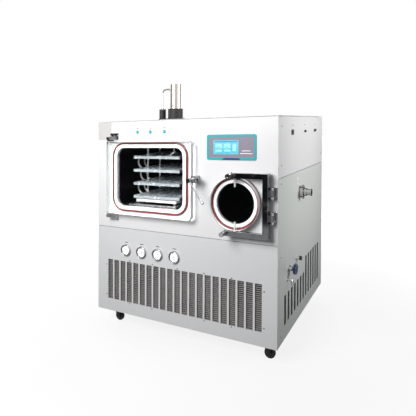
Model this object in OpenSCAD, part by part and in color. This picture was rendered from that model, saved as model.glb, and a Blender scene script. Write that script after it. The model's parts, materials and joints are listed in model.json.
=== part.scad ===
// Pilot freeze dryer: a wheeled cabinet with a shelf chamber behind a clear door,
// a cold trap behind a round clear door and a stoppering cylinder on top.
// X runs to the right, Y to the back, Z up. The origin lies on the floor,
// under the middle of the whole outline.

/* [Cabinet] */
// Width of the cabinet
cab_w = 1100; // [1060:5:1300]
// Depth of the cabinet, front face to rear face
cab_d = 890; // [880:5:1100]
// Height of the sheet-metal shell, without the casters
cab_h = 1095; // [1075:5:1200]
// Height of the shell's underside above the floor
base_h = 90; // [86:1:130]
// Thickness of the casing sheet
sheet = 2; // [1.5:0.5:3]
// Depth of the folded edges of the panels
fold_d = 20; // [14:1:26]
// Seam in the front, below the cabinet's top
front_seam_drop = 609; // [600:1:625]
// Seam in the right side, below the cabinet's top
side_seam_drop = 297; // [285:1:310]
// Open width of the seams between panels
seam_gap = 3; // [2:0.5:5]
// Section of the square frame tube
tube = 30; // [25:1:36]
// Thickness of the floor plate
floor_t = 3; // [2:0.5:5]
// Shadow gap between the lid and the panels under it
lid_gap = 2; // [1:0.5:3]

/* [Ventilation grilles] */
// Number of windows in the front grille
front_windows = 21; // [15:1:22]
// Distance from the cabinet's side to the front windows
front_margin = 76.5; // [70:0.5:90]
// Width of one front window
window_w = 35; // [28:1:38]
// Height of the lower end of all windows
window_z = 68; // [60:1:80]
// Distance from the tall windows' upper ends to the front seam
window_gap = 189; // [180:1:230]
// Number of short windows at the front of each side
side_short = 7; // [5:1:8]
// Number of tall windows at the back of each side
side_tall = 6; // [4:1:6]
// Distance from the rear face to the middle of the last side window
side_window_end = 105.2; // [100:0.2:130]
// Width of one side window
side_window_w = 30; // [24:1:34]
// How much lower the short side windows end
window_step = 82; // [60:1:100]
// Distance from the front face to the middle of the first side window
side_window_y = 120; // [110:1:140]
// Pitch of the louvre slats behind the windows
slat_pitch = 10; // [8:0.2:12]
// Thickness of a slat
slat_t = 1.4; // [1:0.1:2.5]
// Depth of a slat, along its slope
slat_d = 5.5; // [4:0.5:8]
// Downward slope of a slat
slat_tilt = 35; // [20:1:50]
// Rim of a louvre insert beyond its windows
insert_rim = 9; // [7:1:11]

/* [Drying chamber] */
// Width of the chamber's opening
open_w = 436; // [420:1:440]
// Height of the chamber's opening
open_h = 326; // [316:1:334]
// Corner radius of the opening
open_r = 46; // [30:1:60]
// Middle of the opening, from the middle of the cabinet
chamber_x = -174; // [-178:1:-170]
// Middle of the opening, below the cabinet's top
chamber_drop = 313.5; // [309:0.5:317]
// Free depth behind the shelves
rear_space = 20; // [10:1:60]
// Wall of the chamber
chamber_wall = 4; // [3:0.5:6]
// Width of the bright land round the opening
land_w = 19; // [16:0.5:20]
// How far the land stands out from the panel
land_out = 8; // [6:0.5:10]
// Width of the silicone gasket
gasket_w = 11; // [9:0.5:12]
// How far a gasket stands out beyond its land
gasket_out = 4.5; // [3:0.5:6]

/* [Chamber door] */
// Thickness of the clear door
door_t = 30; // [24:1:34]
// Height of the door above the opening
door_over = 37.5; // [35:0.5:42]
// Height of the door below the opening
door_under = 45.5; // [40:0.5:50]
// Bevel of the door's free corners
door_bevel = 15; // [8:1:22]
// Width of the door left of the opening
door_left = 60; // [56:1:64]
// Width of the door right of the opening
door_right = 62; // [56:1:64]
// Hinge axis in from the door's left edge
hinge_in = 6; // [4:0.5:7]
// Diameter of the hinge pins
hinge_pin_d = 8; // [6:0.5:10]
// Height of one hinge leaf on the door's edge
leaf_h = 8; // [6:0.5:12]
// Width of the hinge leaves and brackets
leaf_w = 56; // [48:1:64]
// Height of one hinge bracket
bracket_h = 16; // [13:1:22]

/* [Door latch] */
// Diameter of the latch stud
stud_d = 12; // [10:0.5:14]
// Radius of the round end of the clamping dog
dog_r = 10; // [9:0.5:12]
// Reach of the dog from the stud's axis
dog_reach = 40; // [34:1:50]
// Thickness of the dog
dog_t = 10; // [8:0.5:14]
// Height of the latch above the middle of the opening
latch_up = 4.5; // [-10:0.5:14]
// Diameter of the lever's hub
hub_d = 22; // [20:0.5:24]
// Length of the lever's hub along the stud
hub_l = 22; // [18:1:26]
// Gap between the dog and the hub
hub_gap = 16; // [12:1:20]
// Diameter of the lever rod
lever_d = 9; // [7:0.5:11]
// Length of the lever, stud axis to ball
lever_l = 132; // [100:1:150]
// Diameter of the lever's ball
lever_ball = 16; // [12:1:18]
// Slope of the lever below level
lever_slope = 54; // [53:1:90]

/* [Shelf stack] */
// Width of a shelf
shelf_w = 312; // [290:1:316]
// Depth of a shelf
shelf_d = 380; // [340:1:390]
// Thickness of a shelf
shelf_t = 15; // [12:1:18]
// Pitch of the shelves
shelf_pitch = 75; // [70:1:76]
// Middle of the lowest shelf above the chamber's floor
shelf_rise = 42.5; // [40:0.5:44]
// Middle of the stack, right of the middle of the opening
shelf_shift = 0; // [-4:1:4]
// Front edge of the shelves behind the cabinet's front face
shelf_y = 60; // [50:1:66]
// Diameter of the guide rods
rod_d = 12; // [10:0.5:14]
// Distance of the guide rods from the shelf's side edges
rod_in = 9; // [8.5:0.5:12]
// Depth between the front and rear guide rods
rod_pitch = 124; // [100:1:260]
// Running clearance of rods and rams in their holes
slide_fit = 0.3; // [0.2:0.05:0.5]
// Outer diameter of a shelf hose
hose_d = 11; // [9:0.5:13]
// Straight end of a hose beside the shelf
hose_end = 5; // [4:1:8]
// Height of the tray's wall
tray_h = 14; // [10:1:15]
// Width of the tray
tray_w = 272; // [250:1:274]
// Thickness of the tray sheet
tray_t = 1.5; // [1:0.25:2.5]
// Height of the rails under the tray
rail_h = 17; // [12:1:18]

/* [Stoppering press] */
// Diameter of the ram
ram_d = 22; // [18:1:28]
// Diameter of the ram's foot on the pressure plate
ram_foot = 60; // [50:1:70]
// Stroke of the ram
stroke = 60; // [30:1:60]
// Outer diameter of the press cylinder
press_d = 70; // [62:1:78]
// Bore of the press cylinder
press_bore = 56; // [48:1:58]
// Height of the press cylinder above the cabinet
press_h = 212; // [205:1:230]
// Diameter of the black collar
collar_d = 90; // [84:1:96]
// Height of the black collar
collar_h = 67; // [60:1:80]
// Diameter of the small socket beside the collar
socket_d = 41; // [34:1:46]
// Distance from the ram to the small socket
socket_x = 93; // [88:1:104]
// Diameter of the pressure pipe
pipe_d = 9; // [7:0.5:11]
// Bend radius of the pressure pipe
pipe_bend = 24; // [18:1:30]
// Top of the pressure pipe's axis above the cabinet
pipe_top = 186; // [178:1:188]

/* [Cold trap] */
// Middle of the trap's mouth, from the middle of the cabinet
trap_x = 338.7; // [334:0.1:342]
// Middle of the trap's mouth, below the cabinet's top
trap_drop = 420; // [416:1:424]
// Inner diameter of the trap's vessel
trap_open = 200; // [190:1:206]
// Width of the bright land round the trap's mouth
trap_land_w = 16; // [12:1:20]
// Width of the trap's gasket
trap_seal_w = 14; // [11:1:18]
// Depth of the vessel
vessel_depth = 330; // [260:1:400]
// Wall of the vessel
vessel_wall = 3; // [2:0.5:5]
// Tube of the cooling coil
coil_d = 10; // [8:0.5:10]
// Pitch of the coil's turns
coil_pitch = 34; // [24:1:36]
// Number of turns of the coil round the vessel
coil_turns = 8; // [5:1:8]
// Thickness of the clear round door
disc_t = 22; // [18:1:26]
// Face width of the door frame's bars
bar_w = 26; // [22:1:28]
// Depth of the door frame's arms
arm_t = 17; // [12:1:20]
// Middle of the frame's arms beyond the disc's edge
arm_over = 9; // [8.5:0.5:12]
// Frame's upright beyond the disc's edge
upright_over = 23; // [21:1:26]
// Hinge axis beyond the frame's upright
hinge_out = 13; // [12:1:15]
// Diameter of the frame's hinge knuckles
knuckle_d = 18; // [16:1:20]
// Height of one frame hinge
knuckle_h = 56; // [48:1:62]
// Distance between the two frame hinges, middle to middle
knuckle_pitch = 115; // [108:1:122]
// Pin of the frame's hinges
frame_pin_d = 8; // [6:0.5:9]
// Diameter of the clamping knobs
knob_d = 24; // [20:1:26]
// Length of the clamping knobs
knob_l = 36; // [28:1:38]
// Shank of the clamping knobs
shank_d = 8; // [6:0.5:9]
// Diameter of the catch posts
post_d = 12; // [10:0.5:14]

/* [Controls] */
// Width of the control panel
ctrl_w = 267; // [250:1:280]
// Height of the control panel
ctrl_h = 127; // [118:1:134]
// Corner radius of the control panel
ctrl_r = 11; // [6:1:16]
// Middle of the control panel, from the middle of the cabinet
ctrl_x = 309.5; // [305:0.5:314]
// Middle of the control panel, below the cabinet's top
ctrl_drop = 148.5; // [145:0.5:151]
// How far the control panel stands out
ctrl_out = 3; // [2:0.5:5]
// Depth of the control panel's box inside the cabinet
ctrl_box = 46; // [36:1:60]
// Width of the screen
screen_w = 138; // [120:1:150]
// Height of the screen
screen_h = 70; // [60:1:78]
// Middle of the screen, left of the panel's middle
screen_shift = 28.5; // [20:0.5:34]
// Diameter of the push buttons
button_d = 13; // [11:0.5:15]
// How far a push button stands out
button_out = 5; // [3.5:0.5:7]
// Travel of a push button
button_travel = 2; // [1:0.25:2.5]
// Pitch of the push buttons
button_pitch = 92.5; // [80:0.5:98]
// Push buttons below the cabinet's top
button_drop = 65; // [59:1:69]
// Outer diameter of a gauge
gauge_d = 63; // [58:1:68]
// Pitch of the gauges
gauge_pitch = 107.6; // [96:0.2:110]
// Gauges below the front seam
gauge_drop = 121; // [111:1:131]
// First gauge, from the middle of the cabinet
gauge_x = -341; // [-357:1:-327]
// How far a gauge's bezel stands out
gauge_out = 12; // [9:0.5:14]

/* [Side fittings] */
// Reach of the vacuum port from the side
port_reach = 66; // [60:1:80]
// Outer diameter of the vacuum port's tube
port_d = 33; // [30:1:36]
// Bore of the vacuum port
port_bore = 27; // [22:1:28]
// Diameter of the vacuum port's end flange
port_flange = 40; // [39:1:46]
// Depth of the vacuum port behind the front face
port_y = 364; // [350:1:380]
// Vacuum port below the cabinet's top
port_drop = 411; // [395:1:425]
// Diameter of the drain handwheel
wheel_d = 53; // [46:1:60]
// Thickness of the drain handwheel
wheel_t = 12; // [9:1:14]
// Depth of the drain valve behind the front face
drain_y = 182; // [174:1:190]
// Drain valve below the front seam
drain_drop = 160; // [152:1:164]
// Diameter of the drain valve's seat on the panel
drain_seat = 30; // [26:1:36]
// Reach of the drain valve's stem
drain_stem = 38; // [37:0.5:42]
// Depth of the vent valve behind the front face
vent_y = 315; // [300:1:330]
// Vent valve below the front seam
vent_drop = 146; // [136:1:156]
// Diameter of the vent valve's knob
vent_d = 22; // [18:1:26]
// Depth of the main switch behind the front face
switch_y = 226; // [216:1:236]
// Electrical fittings below the cabinet's top
switch_drop = 85; // [81:1:91]

/* [Refrigeration] */
// Compressor's axis in from the right side
comp_side = 310; // [270:1:330]
// Compressor's axis in from the rear face
comp_back = 290; // [250:1:320]

/* [Casters] */
// Diameter of the caster wheels
caster_d = 56; // [50:1:58]
// Width of the caster wheels
caster_w = 24; // [18:1:28]
// Trail of the front casters
trail = 18; // [12:1:24]
// Turn of the front casters from straight back
fork_turn = -90; // [-180:5:180]
// Diameter of the caster axles
axle_d = 8; // [6:0.5:10]
// Distance of the casters from the cabinet's sides
caster_in = 80; // [72:1:95]

/* [Hidden] */
$fn = 64;

// Gap that parts keep from a neighbour that moves
rest_gap = 0.3;
// Clearance of a hole round what is fixed in it
fit = 0.5;
// Radial clearance of a pin in its bore
pin_fit = 0.05;
// Overcut of a hole past the faces that it opens
cut = 1;

half_w = cab_w/2;
wall_in = sheet + fold_d;
panel_top = cab_h - sheet - lid_gap;

// Heights above the shell's underside
front_seam = cab_h - front_seam_drop;
side_seam = cab_h - side_seam_drop;
chamber_z = cab_h - chamber_drop;
latch_z = chamber_z + latch_up;
trap_z = cab_h - trap_drop;
ctrl_z = cab_h - ctrl_drop;
button_z = cab_h - button_drop;
gauge_z = front_seam - gauge_drop;
drain_z = front_seam - drain_drop;
vent_z = front_seam - vent_drop;
port_z = cab_h - port_drop;
switch_z = cab_h - switch_drop;

// Windows
front_pitch = (cab_w - 2*front_margin - window_w)/(front_windows - 1);
side_windows_n = side_short + side_tall;
side_pitch = (cab_d - side_window_y - side_window_end)/(side_windows_n - 1);
window_h = front_seam - window_gap - window_z;

// Parts of the drying chamber
chamber_depth = shelf_y + shelf_d + rear_space;
seal_w = land_w + gasket_w;
gasket_y = -(land_out + gasket_out);
tongue_t = land_out - 3;
tongue_w = land_w + gasket_w - 3;
floor_z = chamber_z - open_h/2;
ceiling_z = chamber_z + open_h/2;

// Chamber door
door_back = gasket_y - rest_gap;
door_front = door_back - door_t;
door_y = door_back - door_t/2;
door_x0 = chamber_x - open_w/2 - door_left;
door_x1 = chamber_x + open_w/2 + door_right;
door_z0 = floor_z - door_under;
door_z1 = ceiling_z + door_over;
hinge_x = door_x0 + hinge_in;
hinge_plate_t = 5;
leaf_r = hinge_in + 4;

// Latch
stud_x = door_x1 + dog_r + 1;
dog_y = door_front - rest_gap;
hub_y = dog_y - dog_t - hub_gap;
latch_reach = hub_l - hub_y;
latch_w = 28;
latch_h = 32;

// Shelf stack
stack_x = chamber_x + shelf_shift;
stack_y = shelf_y + shelf_d/2;
shelf_z = floor_z + shelf_rise;
plate_z = shelf_z + 3*shelf_pitch;
rod_x = shelf_w/2 - rod_in;
rod_top = ceiling_z - 8;
hose_y = [-80, -20];
hose_step = 22;

// Press
ram_top = cab_h + press_h - 42;
socket_h = collar_h;
nub_d = pipe_d + 7;
nub_l = 8;

// Cold trap
vessel_r = trap_open/2 + vessel_wall;
trap_land = trap_open/2 + trap_land_w;
trap_seal = trap_land + trap_seal_w;
arm_up = trap_seal + arm_over;
upright_x = trap_seal + upright_over;
disc_back = gasket_y - rest_gap;
arm_back = disc_back - disc_t;
arm_front = arm_back - arm_t;
frame_x0 = trap_x + upright_x;
pin_x = frame_x0 + bar_w + hinge_out;
pin_y = -20;
frame_h = 2*arm_up + bar_w;
knob_x = [-9, -40];
knob_gap = 2;

// Layout moved so that the outline's middle lies on the origin
module in_cabinet() {
  translate([-port_reach/2, -(cab_d - latch_reach)/2, base_h]) children();
}

// Rounded rectangle about the origin
module rounded(w, h, r) {
  square([w - 2*r, h], center = true);
  square([w, h - 2*r], center = true);
  for (x = [-1, 1], y = [-1, 1])
    translate([x*(w/2 - r), y*(h/2 - r)]) circle(r);
}

// Profile drawn in X and Z, standing between two depths
module between_y(y0, y1) {
  translate([0, y1, 0]) rotate([90, 0, 0]) linear_extrude(y1 - y0) children();
}

// Profile drawn in Y and Z, standing between two widths
module between_x(x0, x1) {
  translate([x0, 0, 0]) rotate([90, 0, 90]) linear_extrude(x1 - x0) children();
}

// Round bars along X and Y
module bar_x(d, x0, x1) {
  translate([x0, 0, 0]) rotate([0, 90, 0]) cylinder(d = d, h = x1 - x0);
}
module bar_y(d, y0, y1) {
  translate([0, y1, 0]) rotate([90, 0, 0]) cylinder(d = d, h = y1 - y0);
}

// Box from one corner to another
module block(a, b) {
  translate(a) cube(b - a);
}

// Front panel: a sheet with its edges folded back
module folded_front(z0, z1, low_fold, high_fold) {
  side = half_w - sheet - fit;
  block([-half_w, 0, z0], [half_w, sheet, z1]);
  for (s = [-1, 1])
    block([s*side - (s > 0 ? sheet : 0), 0, z0], [s*side + (s > 0 ? 0 : sheet), wall_in, z1]);
  if (low_fold) block([-side, 0, z0], [side, wall_in, z0 + sheet]);
  if (high_fold) block([-side, 0, z1 - sheet], [side, wall_in, z1]);
}

// Middle of each window of a row
function front_row() = [for (i = [0:front_windows - 1]) (i - (front_windows - 1)/2)*front_pitch];
function side_row() = [for (i = [0:side_windows_n - 1]) side_window_y + i*side_pitch];
function window_top(i) = window_z + window_h - (i < side_short ? window_step : 0);
insert_top = window_z + window_h + insert_rim;
insert_low = window_z - insert_rim;

// Louvre insert: a rim with sloping slats, its face on Y = 0
module louvres(w) {
  z0 = insert_low;
  h = insert_top - insert_low;
  depth = 10;
  difference() {
    block([-w/2, 0, z0], [w/2, depth, z0 + h]);
    block([-w/2 + 4, -cut, z0 + 4], [w/2 - 4, depth + cut, z0 + h - 4]);
  }
  n = floor((h - 8 - slat_d)/slat_pitch);
  first = (h - n*slat_pitch)/2;
  for (i = [0:n])
    translate([-w/2 + 2, depth/2, z0 + first + i*slat_pitch])
      rotate([slat_tilt, 0, 0])
        translate([0, -slat_d/2, -slat_t/2]) cube([w - 4, slat_d, slat_t]);
}

front_insert_w = (front_windows - 1)*front_pitch + window_w + 2*insert_rim;
side_insert_w = (side_windows_n - 1)*side_pitch + side_window_w + 2*insert_rim;
side_insert_y = side_window_y + (side_windows_n - 1)*side_pitch/2;

// ---- Cabinet ----
frame_x = half_w - wall_in;
frame_y0 = wall_in;
frame_y1 = cab_d - wall_in;
frame_top = cab_h - sheet;

module frame_ring(z) {
  difference() {
    block([-frame_x, frame_y0, z], [frame_x, frame_y1, z + tube]);
    block([-frame_x + tube, frame_y0 + tube, z - cut], [frame_x - tube, frame_y1 - tube, z + tube + cut]);
  }
}

module base_frame() {
  color("lightgray") in_cabinet() {
    frame_ring(0);
    frame_ring(front_seam - tube/2);
    frame_ring(frame_top - tube);
    for (x = [-frame_x, frame_x - tube], y = [frame_y0, frame_y1 - tube])
      block([x, y, 0], [x + tube, y + tube, frame_top]);
    block([-frame_x, frame_y0, 0], [frame_x, frame_y1, floor_t]);
  }
}

chamber_hole_w = open_w + 2*(chamber_wall + fit);
chamber_hole_h = open_h + 2*(chamber_wall + fit);

module front_upper_panel() {
  color("whitesmoke") in_cabinet() difference() {
    folded_front(front_seam + seam_gap/2, panel_top, true, false);
    between_y(-cut, sheet + cut) {
      translate([chamber_x, chamber_z])
        rounded(chamber_hole_w, chamber_hole_h, open_r + chamber_wall + fit);
      translate([trap_x, trap_z]) circle(vessel_r + fit);
      translate([ctrl_x, ctrl_z]) square([ctrl_w - 24, ctrl_h - 24], center = true);
    }
    for (i = [0:2])
      translate([button_x(i), 0, button_z])
        bar_y(button_d + 2*slide_fit, -cut, sheet + cut);
  }
}

module front_lower_panel() {
  color("gainsboro") in_cabinet() difference() {
    folded_front(0, front_seam - seam_gap/2, true, true);
    for (x = front_row())
      block([x - window_w/2, -cut, window_z], [x + window_w/2, sheet + cut, window_z + window_h]);
    for (i = [0:3])
      translate([gauge_x + i*gauge_pitch, 0, gauge_z]) bar_y(gauge_d - 6 + 2*fit, -cut, sheet + cut);
  }
}

// Side sheet from one height to another, standing between the front and rear sheets
module side_sheet(z0, z1) {
  block([half_w - sheet, sheet, z0], [half_w, cab_d - sheet, z1]);
  for (z = [z0, z1 - sheet])
    block([half_w - wall_in, wall_in + fit, z], [half_w - sheet, cab_d - wall_in - fit, z + sheet]);
}

module side_windows() {
  y = side_row();
  for (i = [0:len(y) - 1])
    block([half_w - sheet - cut, y[i] - side_window_w/2, window_z],
      [half_w + cut, y[i] + side_window_w/2, window_top(i)]);
}

module right_upper_panel() {
  color("gainsboro") in_cabinet() difference() {
    side_sheet(side_seam + seam_gap/2, panel_top);
    translate([0, switch_y, switch_z])
      block([half_w - sheet - cut, -15, -11], [half_w + cut, 15, 11]);
  }
}

module right_lower_panel() {
  color("darkgray") in_cabinet() difference() {
    side_sheet(0, side_seam - seam_gap/2);
    side_windows();
    translate([0, port_y, port_z]) bar_x(port_d + 2*fit, half_w - sheet - cut, half_w + cut);
  }
}

module left_panel() {
  color("gainsboro") in_cabinet() mirror([1, 0, 0]) difference() {
    side_sheet(0, panel_top);
    side_windows();
  }
}

module top_panel() {
  color("whitesmoke") in_cabinet() difference() {
    block([-half_w, 0, cab_h - sheet], [half_w, cab_d, cab_h]);
    translate([stack_x, stack_y, cab_h - sheet - cut])
      cylinder(d = ram_d + 12, h = sheet + 2*cut);
  }
}

// Slots and mains inlet of the rear panel
rear_vents = 9;
slot_x = 260;
slot_w = 300;
slot_h = 10;
slot_z = 120;
slot_pitch = 24;
inlet_x = 150 - half_w;
inlet_z = 120;
inlet_w = 47;
inlet_h = 27;
module rear_panel() {
  color("gainsboro") in_cabinet() difference() {
    union() {
      block([-half_w, cab_d - sheet, 0], [half_w, cab_d, panel_top]);
      for (s = [-1, 1])
        translate([s*(half_w - sheet - fit - sheet/2), 0, 0])
          block([-sheet/2, cab_d - wall_in, 0], [sheet/2, cab_d, panel_top]);
    }
    for (x = [-slot_x, slot_x], i = [0:rear_vents - 1])
      translate([x, cab_d, slot_z + i*slot_pitch])
        block([-slot_w/2, -sheet - cut, 0], [slot_w/2, cut, slot_h]);
    translate([inlet_x, cab_d, inlet_z])
      block([-inlet_w/2 - fit, -sheet - cut, -inlet_h/2 - fit], [inlet_w/2 + fit, cut, inlet_h/2 + fit]);
  }
}

module grille_inserts() {
  color("dimgray") in_cabinet() {
    translate([0, sheet, 0]) louvres(front_insert_w);
    for (s = [-1, 1])
      translate([s*(half_w - sheet), side_insert_y, 0]) rotate([0, 0, s*90]) louvres(side_insert_w);
  }
}

// ---- Drying chamber ----
function button_x(i) = chamber_x - 2 + (i - 1)*button_pitch + (i == 0 ? 6 : 0);

module chamber_profile(extra) {
  translate([chamber_x, chamber_z])
    rounded(open_w + 2*extra, open_h + 2*extra, open_r + extra);
}

module chamber_body() {
  color("silver") in_cabinet() difference() {
    union() {
      between_y(0, chamber_depth + chamber_wall) chamber_profile(chamber_wall);
      between_y(-land_out, 0) chamber_profile(land_w);
      between_y(-tongue_t, 0) chamber_profile(tongue_w);
      translate([stack_x, stack_y, ceiling_z]) cylinder(d = ram_d + 20, h = 24);
    }
    between_y(-land_out - cut, chamber_depth) chamber_profile(0);
    translate([stack_x, stack_y, ceiling_z - chamber_wall])
      cylinder(d = ram_d + 2*slide_fit, h = 40);
  }
}

module chamber_gasket() {
  color("firebrick") in_cabinet() difference() {
    union() {
      between_y(gasket_y + 1.5, -rest_gap) chamber_profile(seal_w);
      between_y(gasket_y, gasket_y + 1.5) chamber_profile(seal_w - 2);
    }
    between_y(gasket_y - cut, 0) chamber_profile(land_w);
    between_y(-tongue_t, 0) chamber_profile(tongue_w);
  }
}

// Outline of the clear door with its free corners bevelled
module door_outline() {
  b = door_bevel;
  polygon([[door_x0, door_z0], [door_x1 - b, door_z0], [door_x1, door_z0 + b],
    [door_x1, door_z1 - b], [door_x1 - b, door_z1], [door_x0, door_z1]]);
}

module door_panel() {
  color("aliceblue", 0.4) in_cabinet() between_y(door_front, door_back) door_outline();
}

// One hinge part above a level, drawn for the upper hinge
module leaf_plate() {
  difference() {
    union() {
      block([hinge_x, door_front, 0], [door_x0 + leaf_w, door_back, leaf_h]);
      translate([hinge_x, door_y, 0]) cylinder(r = leaf_r, h = leaf_h);
    }
    translate([hinge_x, door_y, -cut])
      cylinder(d = hinge_pin_d + 2*pin_fit, h = leaf_h + 2*cut);
  }
}

module hinge_bracket() {
  z0 = leaf_h + rest_gap;
  block([hinge_x - leaf_r, -hinge_plate_t, z0], [door_x0 + leaf_w, 0, z0 + bracket_h + 20]);
  block([hinge_x - leaf_r, door_y - leaf_r, z0], [hinge_x + leaf_r, 0, z0 + bracket_h]);
  translate([hinge_x, door_y, rest_gap]) cylinder(d = hinge_pin_d, h = z0 + bracket_h - 1);
  for (x = [hinge_x + 18, door_x0 + leaf_w - 9])
    translate([x, 0, z0 + bracket_h/2 + 14]) bar_y(9, -hinge_plate_t - 4, 0);
}

// Both hinges: the lower one is the upper one turned over
module both_hinges() {
  translate([0, 0, door_z1]) children();
  translate([0, 0, door_z0]) mirror([0, 0, 1]) children();
}

module door_hinge_leaves() {
  color("silver") in_cabinet() both_hinges() leaf_plate();
}

module door_hinge_brackets() {
  color("silver") in_cabinet() both_hinges() hinge_bracket();
}

// ---- Door latch ----
module latch_base() {
  color("dimgray") in_cabinet() {
    x0 = stud_x - dog_r;
    block([x0, dog_y + rest_gap, latch_z - latch_h/2], [x0 + latch_w, 0, latch_z + latch_h/2]);
    translate([stud_x, 0, latch_z]) bar_y(stud_d, hub_y - hub_l + 3, dog_y + 1);
  }
}

module latch_dog() {
  color("silver") in_cabinet() translate([stud_x, 0, latch_z]) difference() {
    union() {
      bar_y(2*dog_r, dog_y - dog_t, dog_y);
      block([0, dog_y - dog_t, -dog_r], [dog_reach, dog_y, dog_r]);
      bar_y(2*dog_r - 2, hub_y + rest_gap, dog_y);
    }
    bar_y(stud_d + 2*pin_fit, hub_y - cut, dog_y + cut);
  }
}

module latch_lever() {
  color("silver") in_cabinet() translate([stud_x, 0, latch_z]) difference() {
    union() {
      bar_y(hub_d, hub_y - hub_l, hub_y);
      rotate([0, lever_slope, 0]) translate([0, hub_y - hub_l/2, 0]) {
        bar_x(lever_d, 0, lever_l);
        translate([lever_l, 0, 0]) sphere(d = lever_ball);
      }
    }
    bar_y(stud_d + 2*pin_fit, hub_y - hub_l + 2.5, hub_y + cut);
  }
}

// ---- Shelf stack ----
module shelf_plate(z, gaps) {
  translate([stack_x, stack_y, z]) difference() {
    union() {
      translate([0, 0, -shelf_t/2]) linear_extrude(shelf_t) rounded(shelf_w, shelf_d, 6);
      for (g = gaps, y = hose_y)
        translate([0, y + (g % 2)*hose_step, 0])
          bar_x(hose_d + 3, -shelf_w/2 - 5, -shelf_w/2 + 2);
    }
    for (x = [-rod_x, rod_x], y = [-rod_pitch/2, rod_pitch/2])
      translate([x, y, -shelf_t/2 - cut]) cylinder(d = rod_d + 2*slide_fit, h = shelf_t + 2*cut);
  }
}

module pressure_plate() {
  color("lightsteelblue") in_cabinet() {
    shelf_plate(plate_z, [2]);
    for (x = [-80, 80])
      translate([stack_x + x, stack_y, plate_z + shelf_t/2])
        block([-4, -shelf_d/2 + 30, 0], [4, shelf_d/2 - 30, 12]);
  }
}
module shelf_upper() { color("lightsteelblue") in_cabinet() shelf_plate(shelf_z + 2*shelf_pitch, [1, 2]); }
module shelf_middle() { color("lightsteelblue") in_cabinet() shelf_plate(shelf_z + shelf_pitch, [0, 1]); }
module shelf_lower() { color("lightsteelblue") in_cabinet() shelf_plate(shelf_z, [0]); }

tray_z = floor_z + rail_h;
rail_x = tray_w/2 - 14;

// Rails on the chamber's floor and the four rods that guide the shelves
module shelf_stand() {
  color("silver") in_cabinet() translate([stack_x, 0, floor_z]) {
    for (s = [-1, 1]) {
      block([s*rod_x - 8, shelf_y - 36, 0], [s*rod_x + 8, shelf_y + shelf_d, 8]);
      block([s*rail_x - 5, shelf_y, 0], [s*rail_x + 5, shelf_y + shelf_d, rail_h]);
      for (y = [-rod_pitch/2, rod_pitch/2]) {
        translate([s*rod_x, stack_y + y, 0]) cylinder(d = rod_d, h = rod_top - floor_z);
        translate([s*rod_x, stack_y + y, 0])
          cylinder(d = rod_d + 4, h = shelf_rise - shelf_t/2);
      }
    }
    block([-rod_x - 8, shelf_y - 36, 0], [rod_x + 8, shelf_y - 26, 8]);
    block([-rod_x - 8, shelf_y + shelf_d - 10, 0], [rod_x + 8, shelf_y + shelf_d, 8]);
  }
}

// One hose: a half ring between two shelves with straight ends
module shelf_hose(y, z) {
  r = shelf_pitch/2;
  translate([stack_x - shelf_w/2 - 5, y, z]) {
    for (s = [-1, 1]) translate([0, 0, s*r]) bar_x(hose_d, -hose_end, -rest_gap);
    translate([-hose_end, 0, 0]) rotate([90, 0, 0]) rotate([0, 0, 90])
      rotate_extrude(angle = 180) translate([r, 0]) circle(d = hose_d);
  }
}

module shelf_hoses() {
  color("gray") in_cabinet()
    for (i = [0:2], y = hose_y)
      shelf_hose(stack_y + y + (i % 2)*hose_step, shelf_z + (i + 0.5)*shelf_pitch);
}

module product_tray() {
  color("white") in_cabinet() translate([stack_x, stack_y, tray_z]) difference() {
    linear_extrude(tray_h) rounded(tray_w, shelf_d, 8);
    translate([0, 0, tray_t])
      linear_extrude(tray_h) rounded(tray_w - 2*tray_t, shelf_d - 2*tray_t, 8 - tray_t);
  }
}

// ---- Stoppering press ----
module press_ram() {
  color("silver") in_cabinet() translate([stack_x, stack_y, 0]) {
    z0 = plate_z + shelf_t/2;
    translate([0, 0, z0]) cylinder(d = ram_foot, h = 10);
    translate([0, 0, z0]) cylinder(d = ram_d, h = ram_top - z0);
    translate([0, 0, ram_top - 24]) cylinder(d = press_bore - 2*slide_fit, h = 18);
  }
}

module press_cylinder() {
  color("silver") in_cabinet() translate([stack_x, stack_y, cab_h]) {
    difference() {
      union() {
        translate([0, 0, 14]) cylinder(d = press_d, h = press_h - 14);
        translate([0, 0, pipe_top]) bar_x(nub_d, -press_d/2 - nub_l, -press_d/2 + 4);
      }
      translate([0, 0, 14 - cut]) cylinder(d = press_bore, h = press_h - 26 + cut);
    }
    translate([-socket_x, 0, 0]) pressure_pipe();
  }
}

module press_base() {
  color("black") in_cabinet() translate([stack_x, stack_y, cab_h]) difference() {
    union() {
      linear_extrude(10) {
        translate([-socket_x/2, 0]) square([socket_x, socket_d + 10], center = true);
        circle(d = collar_d + 20);
        translate([-socket_x, 0]) circle(d = socket_d + 10);
      }
      cylinder(d = collar_d, h = collar_h);
      translate([-socket_x, 0, 0]) cylinder(d = socket_d, h = socket_h);
    }
    translate([0, 0, 14]) cylinder(d = press_d, h = collar_h);
    translate([0, 0, -cut]) cylinder(d = ram_d + 2*slide_fit, h = 20);
  }
}

// Pipe from the small socket up and over to the cylinder's side
module pressure_pipe() {
  run = socket_x - press_d/2 - nub_l;
  translate([0, 0, socket_h]) cylinder(d = pipe_d, h = pipe_top - pipe_bend - socket_h);
  translate([0, 0, socket_h]) cylinder(d = pipe_d + 6, h = 8);
  translate([pipe_bend, 0, pipe_top - pipe_bend]) rotate([90, 0, 0]) rotate([0, 0, 90])
    rotate_extrude(angle = 90) translate([pipe_bend, 0]) circle(d = pipe_d);
  translate([0, 0, pipe_top]) bar_x(pipe_d, pipe_bend, run);
}

// ---- Cold trap ----
module at_trap() {
  translate([trap_x, 0, trap_z]) children();
}

module trap_vessel() {
  color("silver") in_cabinet() at_trap() difference() {
    bar_y(2*vessel_r, -land_out, vessel_depth + vessel_wall);
    bar_y(trap_open, -land_out - cut, vessel_depth);
  }
}

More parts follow.
